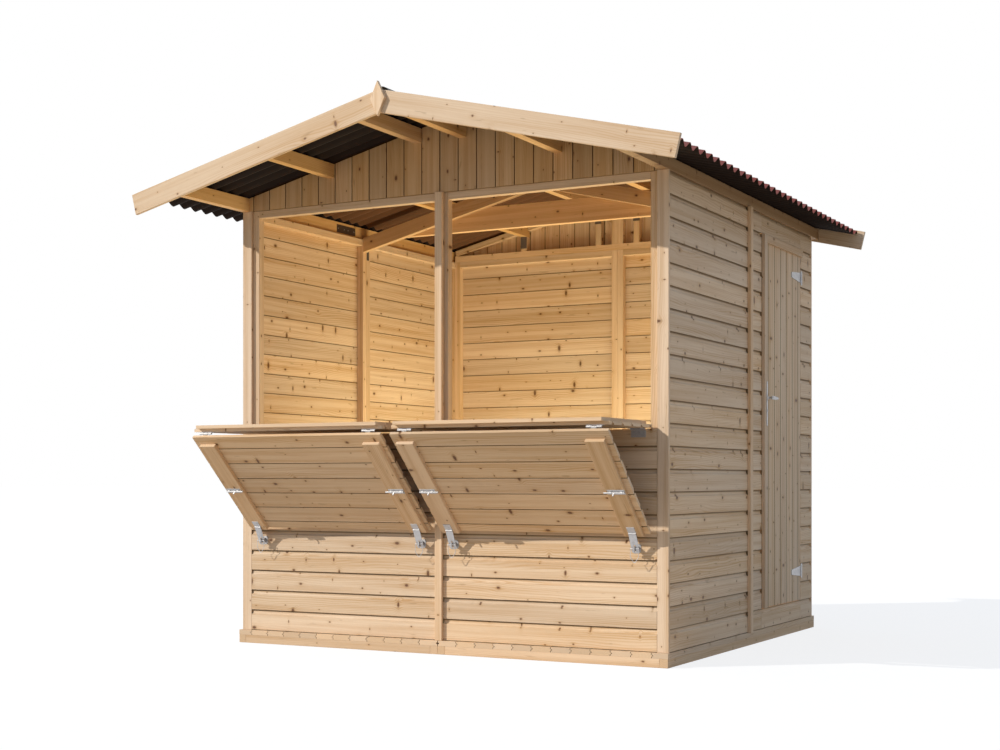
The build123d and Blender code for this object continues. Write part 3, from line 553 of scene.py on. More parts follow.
# ------------------------------------------------------------------ finishes
class Nodes:
    """Short calls that lay out the nodes of a material or of the world."""

    def __init__(self, owner):
        owner.use_nodes = True
        self.owner, self.tree = owner, owner.node_tree
        self.tree.nodes.clear()

    def new(self, kind, inputs=None, **settings):
        node = self.tree.nodes.new(kind)
        for key, value in settings.items():
            setattr(node, key, value)
        for key, value in (inputs or {}).items():
            self.put(node.inputs[key], value)
        return node

    def put(self, socket, value):
        if isinstance(value, bpy.types.NodeSocket):
            self.tree.links.new(value, socket)
        elif isinstance(value, tuple) and len(value) == 3:  # a colour
            socket.default_value = (*value, 1.0)
        else:
            socket.default_value = value

    def math(self, operation, *values, clamp=False):
        inputs = dict(enumerate(values))
        return self.new("ShaderNodeMath", inputs, operation=operation, use_clamp=clamp).outputs[0]

    def times(self, first, second):
        return self.math("MULTIPLY", first, second)

    def plus(self, first, second, clamp=False):
        return self.math("ADD", first, second, clamp=clamp)

    def minus(self, first, second):
        return self.math("SUBTRACT", first, second)

    def scaled(self, value, factor, offset):
        return self.math("MULTIPLY_ADD", value, factor, offset)

    def spread(self, value, low, high, to_low=0.0, to_high=1.0, kind="SMOOTHSTEP"):
        inputs = dict(enumerate((value, low, high, to_low, to_high)))
        return self.new("ShaderNodeMapRange", inputs, interpolation_type=kind).outputs[0]

    def vector(self, x, y):
        return self.new("ShaderNodeCombineXYZ", {0: x, 1: y}).outputs[0]

    def parts(self, vector):
        return self.new("ShaderNodeSeparateXYZ", {0: vector}).outputs

    def channels(self, colour):
        return self.new("ShaderNodeSeparateColor", {0: colour}).outputs

    def where(self):
        return self.new("ShaderNodeTexCoord").outputs["Object"]

    def noise(self, vector, scale=1.0, detail=2.0, rough=0.5, across="3D"):
        inputs = {"Vector": vector, "Scale": scale, "Detail": detail, "Roughness": rough}
        return self.new("ShaderNodeTexNoise", inputs, noise_dimensions=across).outputs["Fac"]

    def mix(self, factor, first, second):
        inputs = {0: factor, 6: first, 7: second}
        return self.new("ShaderNodeMix", inputs, data_type="RGBA").outputs[2]

    def mix_shaders(self, factor, first, second):
        inputs = {0: factor, 1: first.outputs[0], 2: second.outputs[0]}
        return self.new("ShaderNodeMixShader", inputs)

    def attribute(self, name):
        return self.new("ShaderNodeAttribute", attribute_name=name).outputs["Fac"]

    def seen(self):
        """1 for rays that show the background itself, and 0 for rays that light the hut."""
        path = self.new("ShaderNodeLightPath").outputs
        last = path["Is Camera Ray"]
        for name in ("Is Glossy Ray", "Is Transmission Ray"):
            last = self.math("MAXIMUM", last, path[name])
        return last

    def finish(self, shader, kind="ShaderNodeOutputMaterial"):
        """Show this shader, and hand back what it finishes."""
        self.new(kind, {"Surface": shader.outputs[0]})
        return self.owner

    def surface(self, colour, roughness, height, bump, distance, specular, metallic=0.0):
        relief = {"Height": height, "Strength": bump, "Distance": distance}
        return self.finish(self.new("ShaderNodeBsdfPrincipled", {
            "Base Color": colour, "Roughness": roughness, "Metallic": metallic,
            "Specular IOR Level": specular,
            "Normal": self.new("ShaderNodeBump", relief).outputs[0],
        }))


def scaled(colour, factor, offset=0.0):
    """A colour with each channel scaled and then lifted."""
    return tuple(factor * c + offset for c in colour)


def spruce(name, pale, amber, knot, lines=92.0, knots=0.78, figure=0.50):
    """Planed spruce: growth lines that bend round knots, fine fibre, darker end grain."""
    n = Nodes(bpy.data.materials.new(name))
    along, across, _ = n.parts(n.new("ShaderNodeUVMap", uv_map="grain").outputs[0])
    tone, butt, joint = n.attribute("tone"), n.attribute("end_grain"), n.attribute("joint")

    def wander(by_length, by_width, detail=2.0):
        """Noise stretched along the grain: changes in each metre of length and of width."""
        place = n.vector(n.times(along, by_length), n.times(across, by_width))
        return n.noise(place, detail=detail, across="2D")

    # One knot may sit in each cell of board, at a random place and of a random size.
    cell_long, cell_wide = 0.17, 0.080
    cell = n.vector(n.math("DIVIDE", along, cell_long), n.math("DIVIDE", across, cell_wide))
    cells = n.new(
        "ShaderNodeTexVoronoi", {"Vector": cell, "Scale": 1.0, "Randomness": 0.9},
        voronoi_dimensions="2D", feature="F1",
    ).outputs
    spot, luck = n.parts(cells["Position"]), n.channels(cells["Color"])
    off_long = n.minus(along, n.times(spot[0], cell_long))
    off_wide = n.minus(across, n.times(spot[1], cell_wide))
    there = n.math("LESS_THAN", luck[0], knots)
    radius = n.scaled(n.math("POWER", luck[1], 2.6), 0.0058, 0.0019)
    flat = n.scaled(luck[2], 0.35, 0.55)
    spike = n.scaled(n.math("GREATER_THAN", luck[2], 0.70), -0.62, 1.0)
    reach = n.math("SQRT", n.plus(
        n.math("POWER", n.times(off_long, flat), 2.0),
        n.math("POWER", n.times(off_wide, spike), 2.0),
    ))
    distance = n.plus(n.math("DIVIDE", reach, radius), n.scaled(wander(210.0, 210.0), 0.7, -0.35))
    heart = n.times(n.spread(distance, 1.15, 0.7), there)
    rim = n.times(n.spread(distance, 2.1, 1.0), there)
    eddy = n.math("POWER", 2.718, n.times(n.math("POWER", distance, 2.0), -0.085))
    eddy = n.times(eddy, there)

    # Growth lines run along the board, wander, and part round the knots.
    ring = n.times(n.minus(across, n.times(n.times(off_wide, eddy), 0.72)), lines)
    ring = n.plus(ring, n.times(wander(0.85, 5.5), 9.0))
    ring = n.plus(ring, n.times(wander(5.0, 30.0), 0.55))
    wave = n.scaled(n.math("SINE", n.times(ring, 2 * pi)), 0.5, 0.5)
    line = n.math("POWER", wave, 2.6)
    line = n.times(line, n.spread(wander(0.6, 9.0), 0.34, 0.70, 0.12, 1.0))
    streak = n.spread(wander(0.9, 34.0, detail=3.0), 0.36, 0.70, 0.0, 0.50, kind="LINEAR")
    fibre = wander(26.0, 850.0)
    depth = n.plus(n.times(line, figure), streak)
    depth = n.plus(depth, n.scaled(fibre, 0.26, -0.13))
    depth = n.plus(depth, n.times(eddy, 0.25), clamp=True)
    colour = n.mix(depth, pale, amber)

    # Flecks of resin and bruises, a few in each metre.
    fleck = n.spread(wander(7.0, 46.0), 0.71, 0.80, 0.0, 0.35)
    colour = n.mix(fleck, colour, scaled(amber, 0.6))
    halo = tuple(0.5 * (a + b) for a, b in zip(amber, knot))
    colour = n.mix(n.times(rim, 0.55), colour, halo)
    colour = n.mix(n.times(heart, 0.92), colour, knot)

    # End grain shows rings and is darker. Painted shade darkens the joints between boards and the hollows under
    # the lips.
    ends = n.scaled(n.math("SINE", n.times(reach, 2 * pi / 0.0042)), 0.14, 0.24)
    colour = n.mix(butt, colour, n.mix(ends, pale, scaled(amber, 0.90)))
    colour = n.mix(n.times(joint, 0.74), colour, (0.135, 0.078, 0.020))

    # Each board has a tone and a warmth of its own.
    warmth = n.scaled(n.math("FRACT", n.times(tone, 7.3)), 0.16, 0.92)
    own = {"Saturation": warmth, "Value": n.scaled(tone, 0.10, 1.0), "Color": colour}
    colour = n.new("ShaderNodeHueSaturation", own).outputs[0]
    rough = n.minus(n.scaled(fibre, 0.16, 0.52), n.times(heart, 0.14))
    height = n.plus(n.times(line, 0.35), n.times(fibre, 0.65))
    height = n.minus(height, n.times(heart, 0.5))
    return n.surface(colour, rough, height, bump=0.35, distance=0.0006, specular=0.32)


def bitumen_sheet(name, top, back, indoors, core):
    """Corrugated bitumen sheet: dusty dark red above, redder where cut; below, near black outside as painted shade
    and brown indoors as painted light.
    """
    n = Nodes(bpy.data.materials.new(name))
    where = n.where()
    under, cut = n.attribute("underside"), n.attribute("cut_edge")
    cloud = n.noise(where, 2.6, 4.0, 0.6)
    fibre = n.noise(where, 420.0, 3.0, 0.6)
    speck = n.noise(where, 90.0, 2.0, 0.7)
    colour = n.mix(n.spread(cloud, 0.35, 0.75, 0.05, 0.42), top, scaled(top, 0.55, 0.17))
    colour = n.mix(n.spread(speck, 0.55, 0.75, 0.0, 0.30), colour, scaled(top, 0.5))
    # The underside's colour is painted light and shade: near black outside the walls, brown indoors.
    painted_shading = n.mix(n.spread(cloud, 0.3, 0.8, 0.0, 0.5), back, scaled(back, 0.55))
    painted_shading = n.mix(n.attribute("indoors"), painted_shading, indoors)
    colour = n.mix(cut, n.mix(under, colour, painted_shading), core)
    rough = n.scaled(fibre, 0.25, 0.62)
    height = n.plus(fibre, n.times(speck, 0.5))
    return n.surface(colour, rough, height, bump=0.4, distance=0.0006, specular=0.15)


def ridge_black(name, black):
    """Black ridge cap with a faint bloom."""
    n = Nodes(bpy.data.materials.new(name))
    where = n.where()
    cloud = n.noise(where, 3.5, 4.0, 0.6)
    grit = n.noise(where, 380.0, 3.0, 0.6)
    colour = n.mix(n.spread(cloud, 0.4, 0.8, 0.0, 0.7), black, scaled(black, 1.6, 0.02))
    rough = n.scaled(grit, 0.25, 0.42)
    return n.surface(colour, rough, grit, bump=0.3, distance=0.0005, specular=0.45)


def zinc_steel(name, zinc):
    """Zinc plated steel: a faint spangle, rubbed streaks and a soft shine."""
    n = Nodes(bpy.data.materials.new(name))
    where = n.where()
    cells = n.new("ShaderNodeTexVoronoi", {"Vector": where, "Scale": 260.0}, feature="F1")
    spangle = n.channels(cells.outputs["Color"])[0]
    rub = n.noise(where, 55.0, 3.0, 0.6)
    fine = n.noise(where, 900.0, 2.0, 0.5)
    dark = scaled(zinc, 0.62)
    colour = n.mix(n.times(spangle, 0.25), zinc, dark)
    colour = n.mix(n.spread(rub, 0.5, 0.75, 0.0, 0.4), colour, dark)
    # Painted shade: marked faces turn dark brown, as plates in shade that mirror the dark roof and the warm light
    # inside.
    colour = n.mix(n.times(n.attribute("painted_shade"), 0.9), colour, (0.075, 0.044, 0.024))
    rough = n.plus(n.scaled(rub, 0.20, 0.42), n.times(spangle, 0.06))
    return n.surface(colour, rough, fine, bump=0.12, distance=0.0002, specular=0.5, metallic=0.75)


def tinted(colour, tint):
    """A colour made deeper or fairer, channel by channel."""
    return tuple(min(1.0, c * k) for c, k in zip(colour, tint))


PLAIN = (1.0, 1.0, 1.0)
SAWN = {"lines": 105.0, "knots": 0.55, "figure": 0.42}
SPRUCE_FINISHES = {  # name, tint of the early wood, tint of the late wood, and its figure
    "spruce_front": ("spruce_boards", PLAIN, PLAIN, {}),
    "spruce_frame": ("spruce_framing", (1.0, 0.96, 0.91), PLAIN, SAWN),
    # The front gable's spruce is darker and warmer: painted shade under the front overhang.
    "front_gable": ("spruce_front_gable", (0.87, 0.76, 0.60), (0.87, 0.76, 0.60), {}),
    # The roof timbers' spruce is warmer and darker: painted shade under the roof.
    "roof_framing_in_painted_shade": ("spruce_roof_framing_in_painted_shade", (0.99, 0.84, 0.60), (0.99, 0.84, 0.60), SAWN),
    # The door side's eave purlin is darker still: painted shade under its overhang.
    "eave_framing_in_painted_shade": ("spruce_eave_framing_in_painted_shade", (0.69, 0.57, 0.42), (0.69, 0.57, 0.42), SAWN),
    "barge_boards": (
        "spruce_barge_boards", (0.90, 0.90, 0.91), (0.95, 0.97, 1.05),
        {"knots": 0.6, "figure": 0.42},
    ),
    "spruce_floor": ("spruce_floor_boards", PLAIN, PLAIN, {"lines": 85.0, "knots": 0.6}),
    "spruce_trim": (
        "spruce_trim_strips", (1.03, 1.02, 1.03), PLAIN,
        {"lines": 100.0, "knots": 0.5, "figure": 0.36},
    ),
}
made_finishes = {}


def make_finish(slot):
    """Make the finish of one material slot."""
    f = bpy.context.scene.hut_finish
    if slot in SPRUCE_FINISHES:
        name, early, late, figure = SPRUCE_FINISHES[slot]
        return spruce(name, tinted(f.pale, early), tinted(f.amber, late), tuple(f.knot), **figure)
    if slot == "bitumen_sheet":
        sides = (f.sheet, f.sheet_underside_painted_shade, f.sheet_underside_painted_lit, f.sheet_core)
        return bitumen_sheet("red_bitumen_sheet", *(tuple(colour) for colour in sides))
    if slot == "ridge_black":
        return ridge_black("black_ridge_cap", tuple(f.ridge))
    return zinc_steel("zinc_plated_steel", tuple(f.zinc))


def finish_for(slot):
    """The finish of one material slot, made the first time it is asked for."""
    if slot not in made_finishes:
        made_finishes[slot] = make_finish(slot)
    return made_finishes[slot]


# ------------------------------------------------------------------ small metal shapes
def facing(out, at):
    """Place of a screw or cap that faces along one direction."""
    turn = Vector(out).to_track_quat("Z", "Y").to_matrix().to_4x4()
    return Matrix.Translation(at) @ turn


def screw_head(work, place, radius=0.0036):
    """A screw head, a little proud and sunk in the middle, that faces along Z."""
    head = bmesh.new()
    bmesh.ops.create_circle(head, cap_ends=True, segments=12, radius=radius)
    raised = bmesh.ops.extrude_face_region(head, geom=head.faces[:], use_keep_orig=True)
    crown = drawn_verts(raised)
    bmesh.ops.translate(head, verts=crown, vec=(0, 0, 0.0005))
    bmesh.ops.scale(head, verts=crown, vec=(0.86, 0.86, 1))
    turn_outwards(head)
    top = [f for f in head.faces if f.normal.z > 0.9]
    bmesh.ops.inset_region(head, faces=top, thickness=radius * 0.38, use_even_offset=True)
    middle = [
        f for f in head.faces
        if f.normal.z > 0.9 and f.calc_center_median().length < radius * 0.2
    ]
    bmesh.ops.inset_region(head, faces=middle, thickness=radius * 0.10, depth=-0.0011)
    bmesh.ops.translate(head, verts=head.verts, vec=(0, 0, -0.0001))
    add(work, head, place)


def turned_shape(work, place, profile, segments=24):
    """A shape turned on a lathe about Z from (radius, height) points."""
    solid = bmesh.new()
    verts = [solid.verts.new((r, 0, h)) for r, h in profile]
    edges = [solid.edges.new(pair) for pair in zip(verts, verts[1:])]
    bmesh.ops.spin(
        solid, geom=verts + edges, cent=(0, 0, 0), axis=(0, 0, 1), angle=2 * pi,
        steps=segments, use_merge=True,
    )
    bmesh.ops.remove_doubles(solid, verts=solid.verts, dist=WELD)
    close_rims(solid)
    turn_outwards(solid)
    add(work, solid, place)


def nail_cap(work, slope, spot):
    """The rounded cap over a roof nail, square to its slope."""
    radius, height = bpy.context.scene.hut_roof.cap_radius, 0.0045
    profile = [(radius * cos(k * pi / 8), height * sin(k * pi / 8)) for k in range(5)]
    turned_shape(work, facing(slope.to_3x3() @ Y, spot), profile, segments=10)


def lay_metal(solid, painted_shade=0.0):
    """Mark how much painted shade darkens a metal shape."""
    painted_shading = solid.faces.layers.float.new("painted_shade")
    for face in solid.faces:
        face[painted_shading] = painted_shade


def plate(work, low, high, corner, easing=0.0004, painted_shade=0.0):
    """A flat metal plate that fills a box, with rounded corners."""
    size = high - low
    thin = min(range(3), key=lambda i: size[i])
    solid = bmesh.new()
    bmesh.ops.create_cube(solid, size=1.0)
    bmesh.ops.scale(solid, verts=solid.verts, vec=size)
    bmesh.ops.translate(solid, verts=solid.verts, vec=(low + high) / 2)
    corners = [
        e for e in solid.edges if abs((e.verts[0].co - e.verts[1].co)[thin]) > 0.9 * size[thin]
    ]
    bevel(solid, corners, corner, segments=5)
    ease(solid, easing, turn=1.0)
    lay_metal(solid, painted_shade)
    add(work, solid, UPRIGHT)


def metal_copy(work, node, turned=UPRIGHT):
    """Copies of a node's metal solids with their sharp edges eased; returns their boxes."""
    boxes = []
    for solid, low, high in solids_of(node, turned):
        ease(solid, 0.0004, shortest=0.004, turn=1.2)
        add(work, solid, turned)
        boxes.append((low, high))
    return boxes


def nail_plate(work, low, high, out):
    """A thin toothed plate pressed into a timber joint, with rows of punched slots."""
    pitch, slot = 0.012, 0.0028
    size = high - low
    thin = max(range(3), key=lambda i: abs(out[i]))
    first, second = [i for i in range(3) if i != thin]
    wide, tall = size[first], size[second]
    columns, rows = max(3, round(wide / pitch)), max(3, round(tall / pitch))
    solid = bmesh.new()
    bmesh.ops.create_grid(solid, x_segments=columns, y_segments=rows, size=0.5)
    cells = solid.faces[:]
    bmesh.ops.inset_individual(solid, faces=cells, thickness=slot / max(wide, tall))
    sunk = list({v for f in cells for v in f.verts})
    # The slots' depth is a share of the plate's thickness, which is 1 until it is scaled.
    bmesh.ops.translate(solid, verts=sunk, vec=(0, 0, -0.55))
    rim = [e for e in solid.edges if e.is_boundary]
    back = drawn_verts(bmesh.ops.extrude_edge_only(solid, edges=rim))
    bmesh.ops.translate(solid, verts=back, vec=(0, 0, -1.0))
    close_rims(solid)
    turn_outwards(solid)
    bmesh.ops.scale(solid, verts=solid.verts, vec=(wide, tall, size[thin]))
    # Nail plates are darkened with painted shade.
    lay_metal(solid, painted_shade=0.85)
    face = (low + high) / 2
    face[thin] = (high if out[thin] > 0 else low)[thin]
    along = (X, Y, Z)[first]
    add(work, solid, axes(along, out.cross(along), out, at=face))


# ------------------------------------------------------------------ pieces of the hut
class HUT_OT_floor(bpy.types.Operator):
    """Lay the floor: runners, joists and tongued boards in four panels"""

    bl_idname = "hut.floor"
    bl_label = "Floor"

    def execute(self, context):
        timber_piece("floor_bearers", "floor_runners", halve=(0,))
        timber_piece("floor_cross_joists", "floor_joists", halve=(1,))
        work, rng = bmesh.new(), dice("floor_boarding")
        cover = context.scene.hut_timber.floor_cover
        for low, high in boxes_of("floor_boards"):
            outward = X if low.x + high.x > 0 else -X
            boarding(work, low, high, outward, Z, cover, tongued, rng)
        place_piece("floor_boarding", work, "floor_boards")
        return {"FINISHED"}


WALLS = {
    "front_boards": ("front_boarding", -Y),
    "rear_boards": ("rear_boarding", Y),
    "left_boards": ("left_boarding", -X),
    "right_front_boards": ("right_front_boarding", X),
    "right_boards_beside_door": ("boarding_beside_door", X),
    "right_boards_over_door": ("boarding_over_door", X),
    "right_boards_under_door": ("boarding_under_door", X),
}


class HUT_OT_wall_boards(bpy.types.Operator):
    """Board the four walls with shiplap boards that run in under the strips"""

    bl_idname = "hut.wall_boards"
    bl_label = "Wall boards"

    def execute(self, context):
        t = context.scene.hut_timber
        floor_top, wall_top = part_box("floor_boards")[1].z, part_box("left_boards")[1].z
        middle_end = 0.021  # where boards end that run in under a middle strip
        for node, (name, out) in WALLS.items():
            work, rng = bmesh.new(), dice(name)
            for low, high in boxes_of(node):
                laps = [
                    t.lap if abs(abs(end) - middle_end) < 0.002 else -t.butt_gap
                    for end in span(low, high, Z.cross(out))
                ]
                if out.x and high.z > wall_top - 0.01:
                    high.z -= t.joint_gap
                first = floor_top
                while first + t.cover < low.z + NEAR:
                    first += t.cover
                boarding(work, low, high, Z, out, t.cover, shiplap, rng, first=first, laps=laps)
            place_piece(name, work, node)
        return {"FINISHED"}


class HUT_OT_cover_strips(bpy.types.Operator):
    """Stand the cover strips at the corners and at the middle of each wall"""

    bl_idname = "hut.cover_strips"
    bl_label = "Cover strips"

    def execute(self, context):
        self.corner_strips(context.scene.hut_timber)
        self.middle_strips(context.scene.hut_timber)
        return {"FINISHED"}

    def corner_strips(self, t):
        """Strips whose edges close the hollows at the boards' ends, with painted shade there."""
        work, rng = bmesh.new(), dice("corner_cover_strips")
        for solid, low, high in solids_of("corner_strips"):
            inner = min(abs(low.x), abs(high.x))
            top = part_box("front_boards")[1].z if low.y < 0 else high.z
            bmesh.ops.bisect_plane(solid, geom=all_of(solid), plane_co=(0, 0, top), plane_no=Z)
            bmesh.ops.transform(solid, matrix=ALONG[2].inverted(), verts=solid.verts)
            ease(solid, t.easing)

            # Faces beside the boards, seen only in the boards' hollows, get painted shade.
            def beside_boards(centre, end):
                beside = abs(abs(centre.y) - inner) < 0.0005 and centre.x < top
                return float(beside and not end)

            lay_grain(solid, rng, beside_boards)
            add(work, solid, ALONG[2])
        place_piece("corner_cover_strips", work, "corner_strips")

    def middle_strips(self, t):
        """Strips with a rebate for the boards on each side, with painted shade in the rebate."""
        faces = (-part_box("left_boards")[0].x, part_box("rear_boards")[1].y)
        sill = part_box("front_boards")[1].z
        work, rng = bmesh.new(), dice("middle_cover_strips")
        for low, high in boxes_of("centre_strips"):
            wide = 0 if abs(low.x + high.x) < 0.01 else 1  # axis across the strip
            deep = 1 - wide  # axis through the wall
            out = 1 if low[deep] + high[deep] > 0 else -1
            back, front = sorted((abs(low[deep]), abs(high[deep])))
            half, board = (high[wide] - low[wide]) / 2, faces[deep]
            tee = [
                (-half, front), (half, front), (half, board), (half - t.lap, board),
                (half - t.lap, back), (t.lap - half, back), (t.lap - half, board), (-half, board),
            ]
            tee = [(a, out * b) if deep else (out * b, a) for a, b in tee]
            solid = prism(tee, high.z - low.z)
            ease(solid, t.easing)

            # Faces in the rebate get painted shade.
            def in_rebate(centre, end):
                return float(abs(centre[1 + deep]) < board + 0.0006 and not end)

            lay_grain(solid, rng, in_rebate)
            add(work, solid, axes(Z, X, Y, at=(0, 0, low.z)))
            if deep and out < 0:  # slips fill the rebate above the sill, where no boards are
                for side in BOTH:
                    inner, outer = side * (half - t.lap), side * half
                    slip = between((inner, -back, sill), (outer, -board, high.z))
                    timber(work, *slip, rng)
        place_piece("middle_cover_strips", work, "centre_strips")


class HUT_OT_wall_frames(bpy.types.Operator):
    """Stand the posts and rails of the wall panels"""

    bl_idname = "hut.wall_frames"
    bl_label = "Wall frames"

    def execute(self, context):
        walls = ("front", "rear", "side")
        for wall in walls:
            timber_piece(f"{wall}_studs", f"{wall}_posts", halve=(0, 1))
        for wall in walls:
            timber_piece(f"{wall}_frame_rails", f"{wall}_rails")
        return {"FINISHED"}


class HUT_OT_gables(bpy.types.Operator):
    """Close the gables with upright boards and stand their small studs"""

    bl_idname = "hut.gables"
    bl_label = "Gables"

    def execute(self, context):
        t = context.scene.hut_timber
        # The front gable takes the spruce darkened with painted shade.
        for wall, out, finish in (("front", -Y, "front_gable"), ("rear", Y, None)):
            name, node = f"{wall}_gable_boarding", f"{wall}_gable"
            work, rng = bmesh.new(), dice(name)
            for low, high in boxes_of(node):
                side = 1 if low.x + high.x > 0 else -1
                slope = pitched(side)
                boarding(
                    work, low, high, X * side, out, t.gable_cover, close_jointed, rng,
                    cuts=[(slope.translation, slope.to_3x3() @ Y)],
                )
            place_piece(name, work, node, finish=finish)
        work, rng = bmesh.new(), dice("gable_framing")
        timbers(work, "gable_rails", rng)
        purlins, apex = boxes_of("purlins"), roof_apex()
        for low, high in boxes_of("gable_rails"):
            for near, far in purlins:
                middle = (near.x + far.x) / 2
                if abs(middle) < EAVE:
                    foot = Vector((middle - t.stud / 2, low.y, high.z))
                    head = Vector((middle + t.stud / 2, high.y, near.z))
                    timber(work, foot, head, rng, grain=2)
            for side in BOTH:
                head = (side * t.stud, high.y, apex - 0.06)
                timber(work, *between((0, low.y, high.z), head), rng, grain=2)
                self.sloping(work, side, low, high, purlins, rng)
        place_piece("gable_framing", work, "gable_rails")
        return {"FINISHED"}

    def sloping(self, work, side, low, high, purlins, rng):
        """The members under the roof line, from purlin to purlin."""
        slope, level = pitched(side), cos(bpy.context.scene.hut_roof.pitch)
        way = (slope.to_3x3() @ Z).y
        gap = 0.001
        stops = [0.002]
        for ends in sorted(
            sorted((abs(near.x), abs(far.x))) for near, far in purlins if side * near.x > -0.01
        ):
            stops += ends
        for start, end in zip(stops[0::2], stops[1::2]):
            foot = (start / level + gap, -0.038, low.y * way)
            head = (min(end, high.x) / level - gap, -gap, high.y * way)
            timber(work, *between(foot, head), rng, turned=slope, grain=0)


class HUT_OT_roof_frame(bpy.types.Operator):
    """Hang the purlins and the middle truss with its nail plates"""

    bl_idname = "hut.roof_frame"
    bl_label = "Roof frame"

    def execute(self, context):
        # The purlins and the truss take spruce tinted with painted shade; the eave purlin on the door's side a
        # darker painted shade, under its overhang.
        for name, finish, by_door in (
            ("roof_purlins", "roof_framing_in_painted_shade", False), ("door_side_eave_purlin", "eave_framing_in_painted_shade", True),
        ):
            timber_piece(
                name, "purlins", finish=finish, grain=1,
                only=lambda at: (at.x > EAVE) == by_door,
            )
        work = bmesh.new()
        for side in BOTH:
            timbers(
                work, "truss_rafters", dice("truss_top_members"), turned=pitched(side),
                grain=0, only=lambda at: at.x * side > 0,
            )
        place_piece("truss_top_members", work, "truss_rafters", finish="roof_framing_in_painted_shade")
        timber_piece("truss_tie_beam", "truss_tie", finish="roof_framing_in_painted_shade", grain=0)
        self.plates()
        return {"FINISHED"}

    def plates(self):
        """Nail plates on the truss, on the gable studs and at the eave purlins' joints."""
        work, splices = bmesh.new(), bmesh.new()
        thin, half = 0.0012, 0.0225
        rear_face, front_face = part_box("rear_posts")[0].y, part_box("front_posts")[1].y
        for near, far in boxes_of("purlins"):
            middle = (near.x + far.x) / 2
            if abs(middle) > EAVE:
                self.splice(splices, near, far, 1 if middle > 0 else -1, thin)
                continue
            top, bottom = (0.050, 0.090) if abs(middle) < 0.3 else (0.001, 0.079)
            for out, face in ((-Y, rear_face), (Y, front_face)):
                low, high = between(
                    (middle - half, face, near.z - bottom),
                    (middle + half, face + out.y * thin, near.z - top),
                )
                nail_plate(work, low, high, out)
        inner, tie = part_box("truss_rafters")[1].x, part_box("truss_tie")[0].z
        for side in BOTH:
            low, high = between(
                (side * inner, 0.001, tie - 0.124), (side * (inner - thin), 0.026, tie - 0.052)
            )
            nail_plate(work, low, high, -X * side)
        place_piece("nail_plates", work, body="hut", slot="zinc_steel")
        place_piece("purlin_splice_plates", splices, body="hut", slot="zinc_steel")

    def splice(self, work, near, far, side, thin):
        """The plate over the joint in an eave purlin, dark with painted shade, with four screws."""
        inner = near.x if side > 0 else far.x
        face = inner - side * thin
        low, high = between((inner, -0.307, near.z + 0.010), (face, -0.107, near.z + 0.058))
        plate(work, low, high, corner=0.003, painted_shade=1.0)
        for y in (low.y + 0.016, low.y + 0.080, high.y - 0.080, high.y - 0.016):
            screw_head(work, facing(-X * side, (face, y, (low.z + high.z) / 2)), 0.0045)


class HUT_OT_roof_sheets(bpy.types.Operator):
    """Cover both slopes with corrugated sheets, nailed on the crests"""

    bl_idname = "hut.roof_sheets"
    bl_label = "Roof sheets"

    def execute(self, context):
        for side in BOTH:
            node, slope = f"roof_sheet_{SIDES[side]}", pitched(side)
            (low, high), = boxes_of(node, slope)
            sheet = self.sheet(low, high)
            self.mark(sheet, slope)
            work = bmesh.new()
            add(work, sheet, slope)
            self.nails(work, slope, low, high)
            place_piece(f"corrugated_roof_{SIDES[side]}", work, node)
        return {"FINISHED"}

    def sheet(self, low, high):
        """A wavy line drawn down the slope and thickened to a sheet."""
        roof, runs = bpy.context.scene.hut_roof, 10
        thick, steps = roof.sheet_thickness, roof.half_waves * 6
        height = (high.y - low.y - thick) / 2
        sheet, points = bmesh.new(), []
        for step in range(steps + 1):
            share = step / steps
            rise = height * sin(share * roof.half_waves * pi)
            points.append(sheet.verts.new((low.x, rise, low.z + share * (high.z - low.z))))
        front = [sheet.edges.new(pair) for pair in zip(points, points[1:])]
        for _ in range(runs):
            drawn = bmesh.ops.extrude_edge_only(sheet, edges=front)
            front = [e for e in drawn["geom"] if isinstance(e, bmesh.types.BMEdge)]
            down = ((high.x - low.x) / runs, 0, 0)
            bmesh.ops.translate(sheet, verts=drawn_verts(drawn), vec=down)
        turn_outwards(sheet)
        bmesh.ops.solidify(sheet, geom=sheet.faces[:], thickness=thick)
        turn_outwards(sheet)
        lift = low.y - bounds(sheet)[0].y
        bmesh.ops.translate(sheet, verts=sheet.verts, vec=(0, lift, 0))
        return sheet

    def mark(self, sheet, slope):
        """Mark a sheet's underside, its cut edges and what lies indoors."""
        floats = sheet.faces.layers.float
        under, cut, indoors = map(floats.new, ("underside", "cut_edge", "indoors"))
        low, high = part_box("gable_rails")
        for face in sheet.faces:
            spot = slope @ face.calc_center_median()
            # Faces indoors take the underside's painted-light colour.
            face[indoors] = float(low.x < spot.x < high.x and low.y < spot.y < high.y)
            face[under] = float(face.normal.y <= 0.3)
            face[cut] = float(abs(face.normal.x) > 0.9)

    def nails(self, work, slope, low, high):
        """Nail caps on every other crest over each purlin."""
        roof = bpy.context.scene.hut_roof
        pitch = (high.z - low.z) / roof.half_waves
        rows = (0.134, 0.41, 0.680, 0.95, 1.245)  # how far out each purlin lies
        sink = 0.0006
        for row, out in enumerate(rows):
            for crest in range(row % 2, roof.half_waves // 2 + 1, 2):
                across = low.z + (2 * crest + 0.5) * pitch
                if across <= high.z - pitch / 4:
                    spot = slope @ Vector((out / cos(roof.pitch), high.y - sink, across))
                    nail_cap(work, slope, spot)


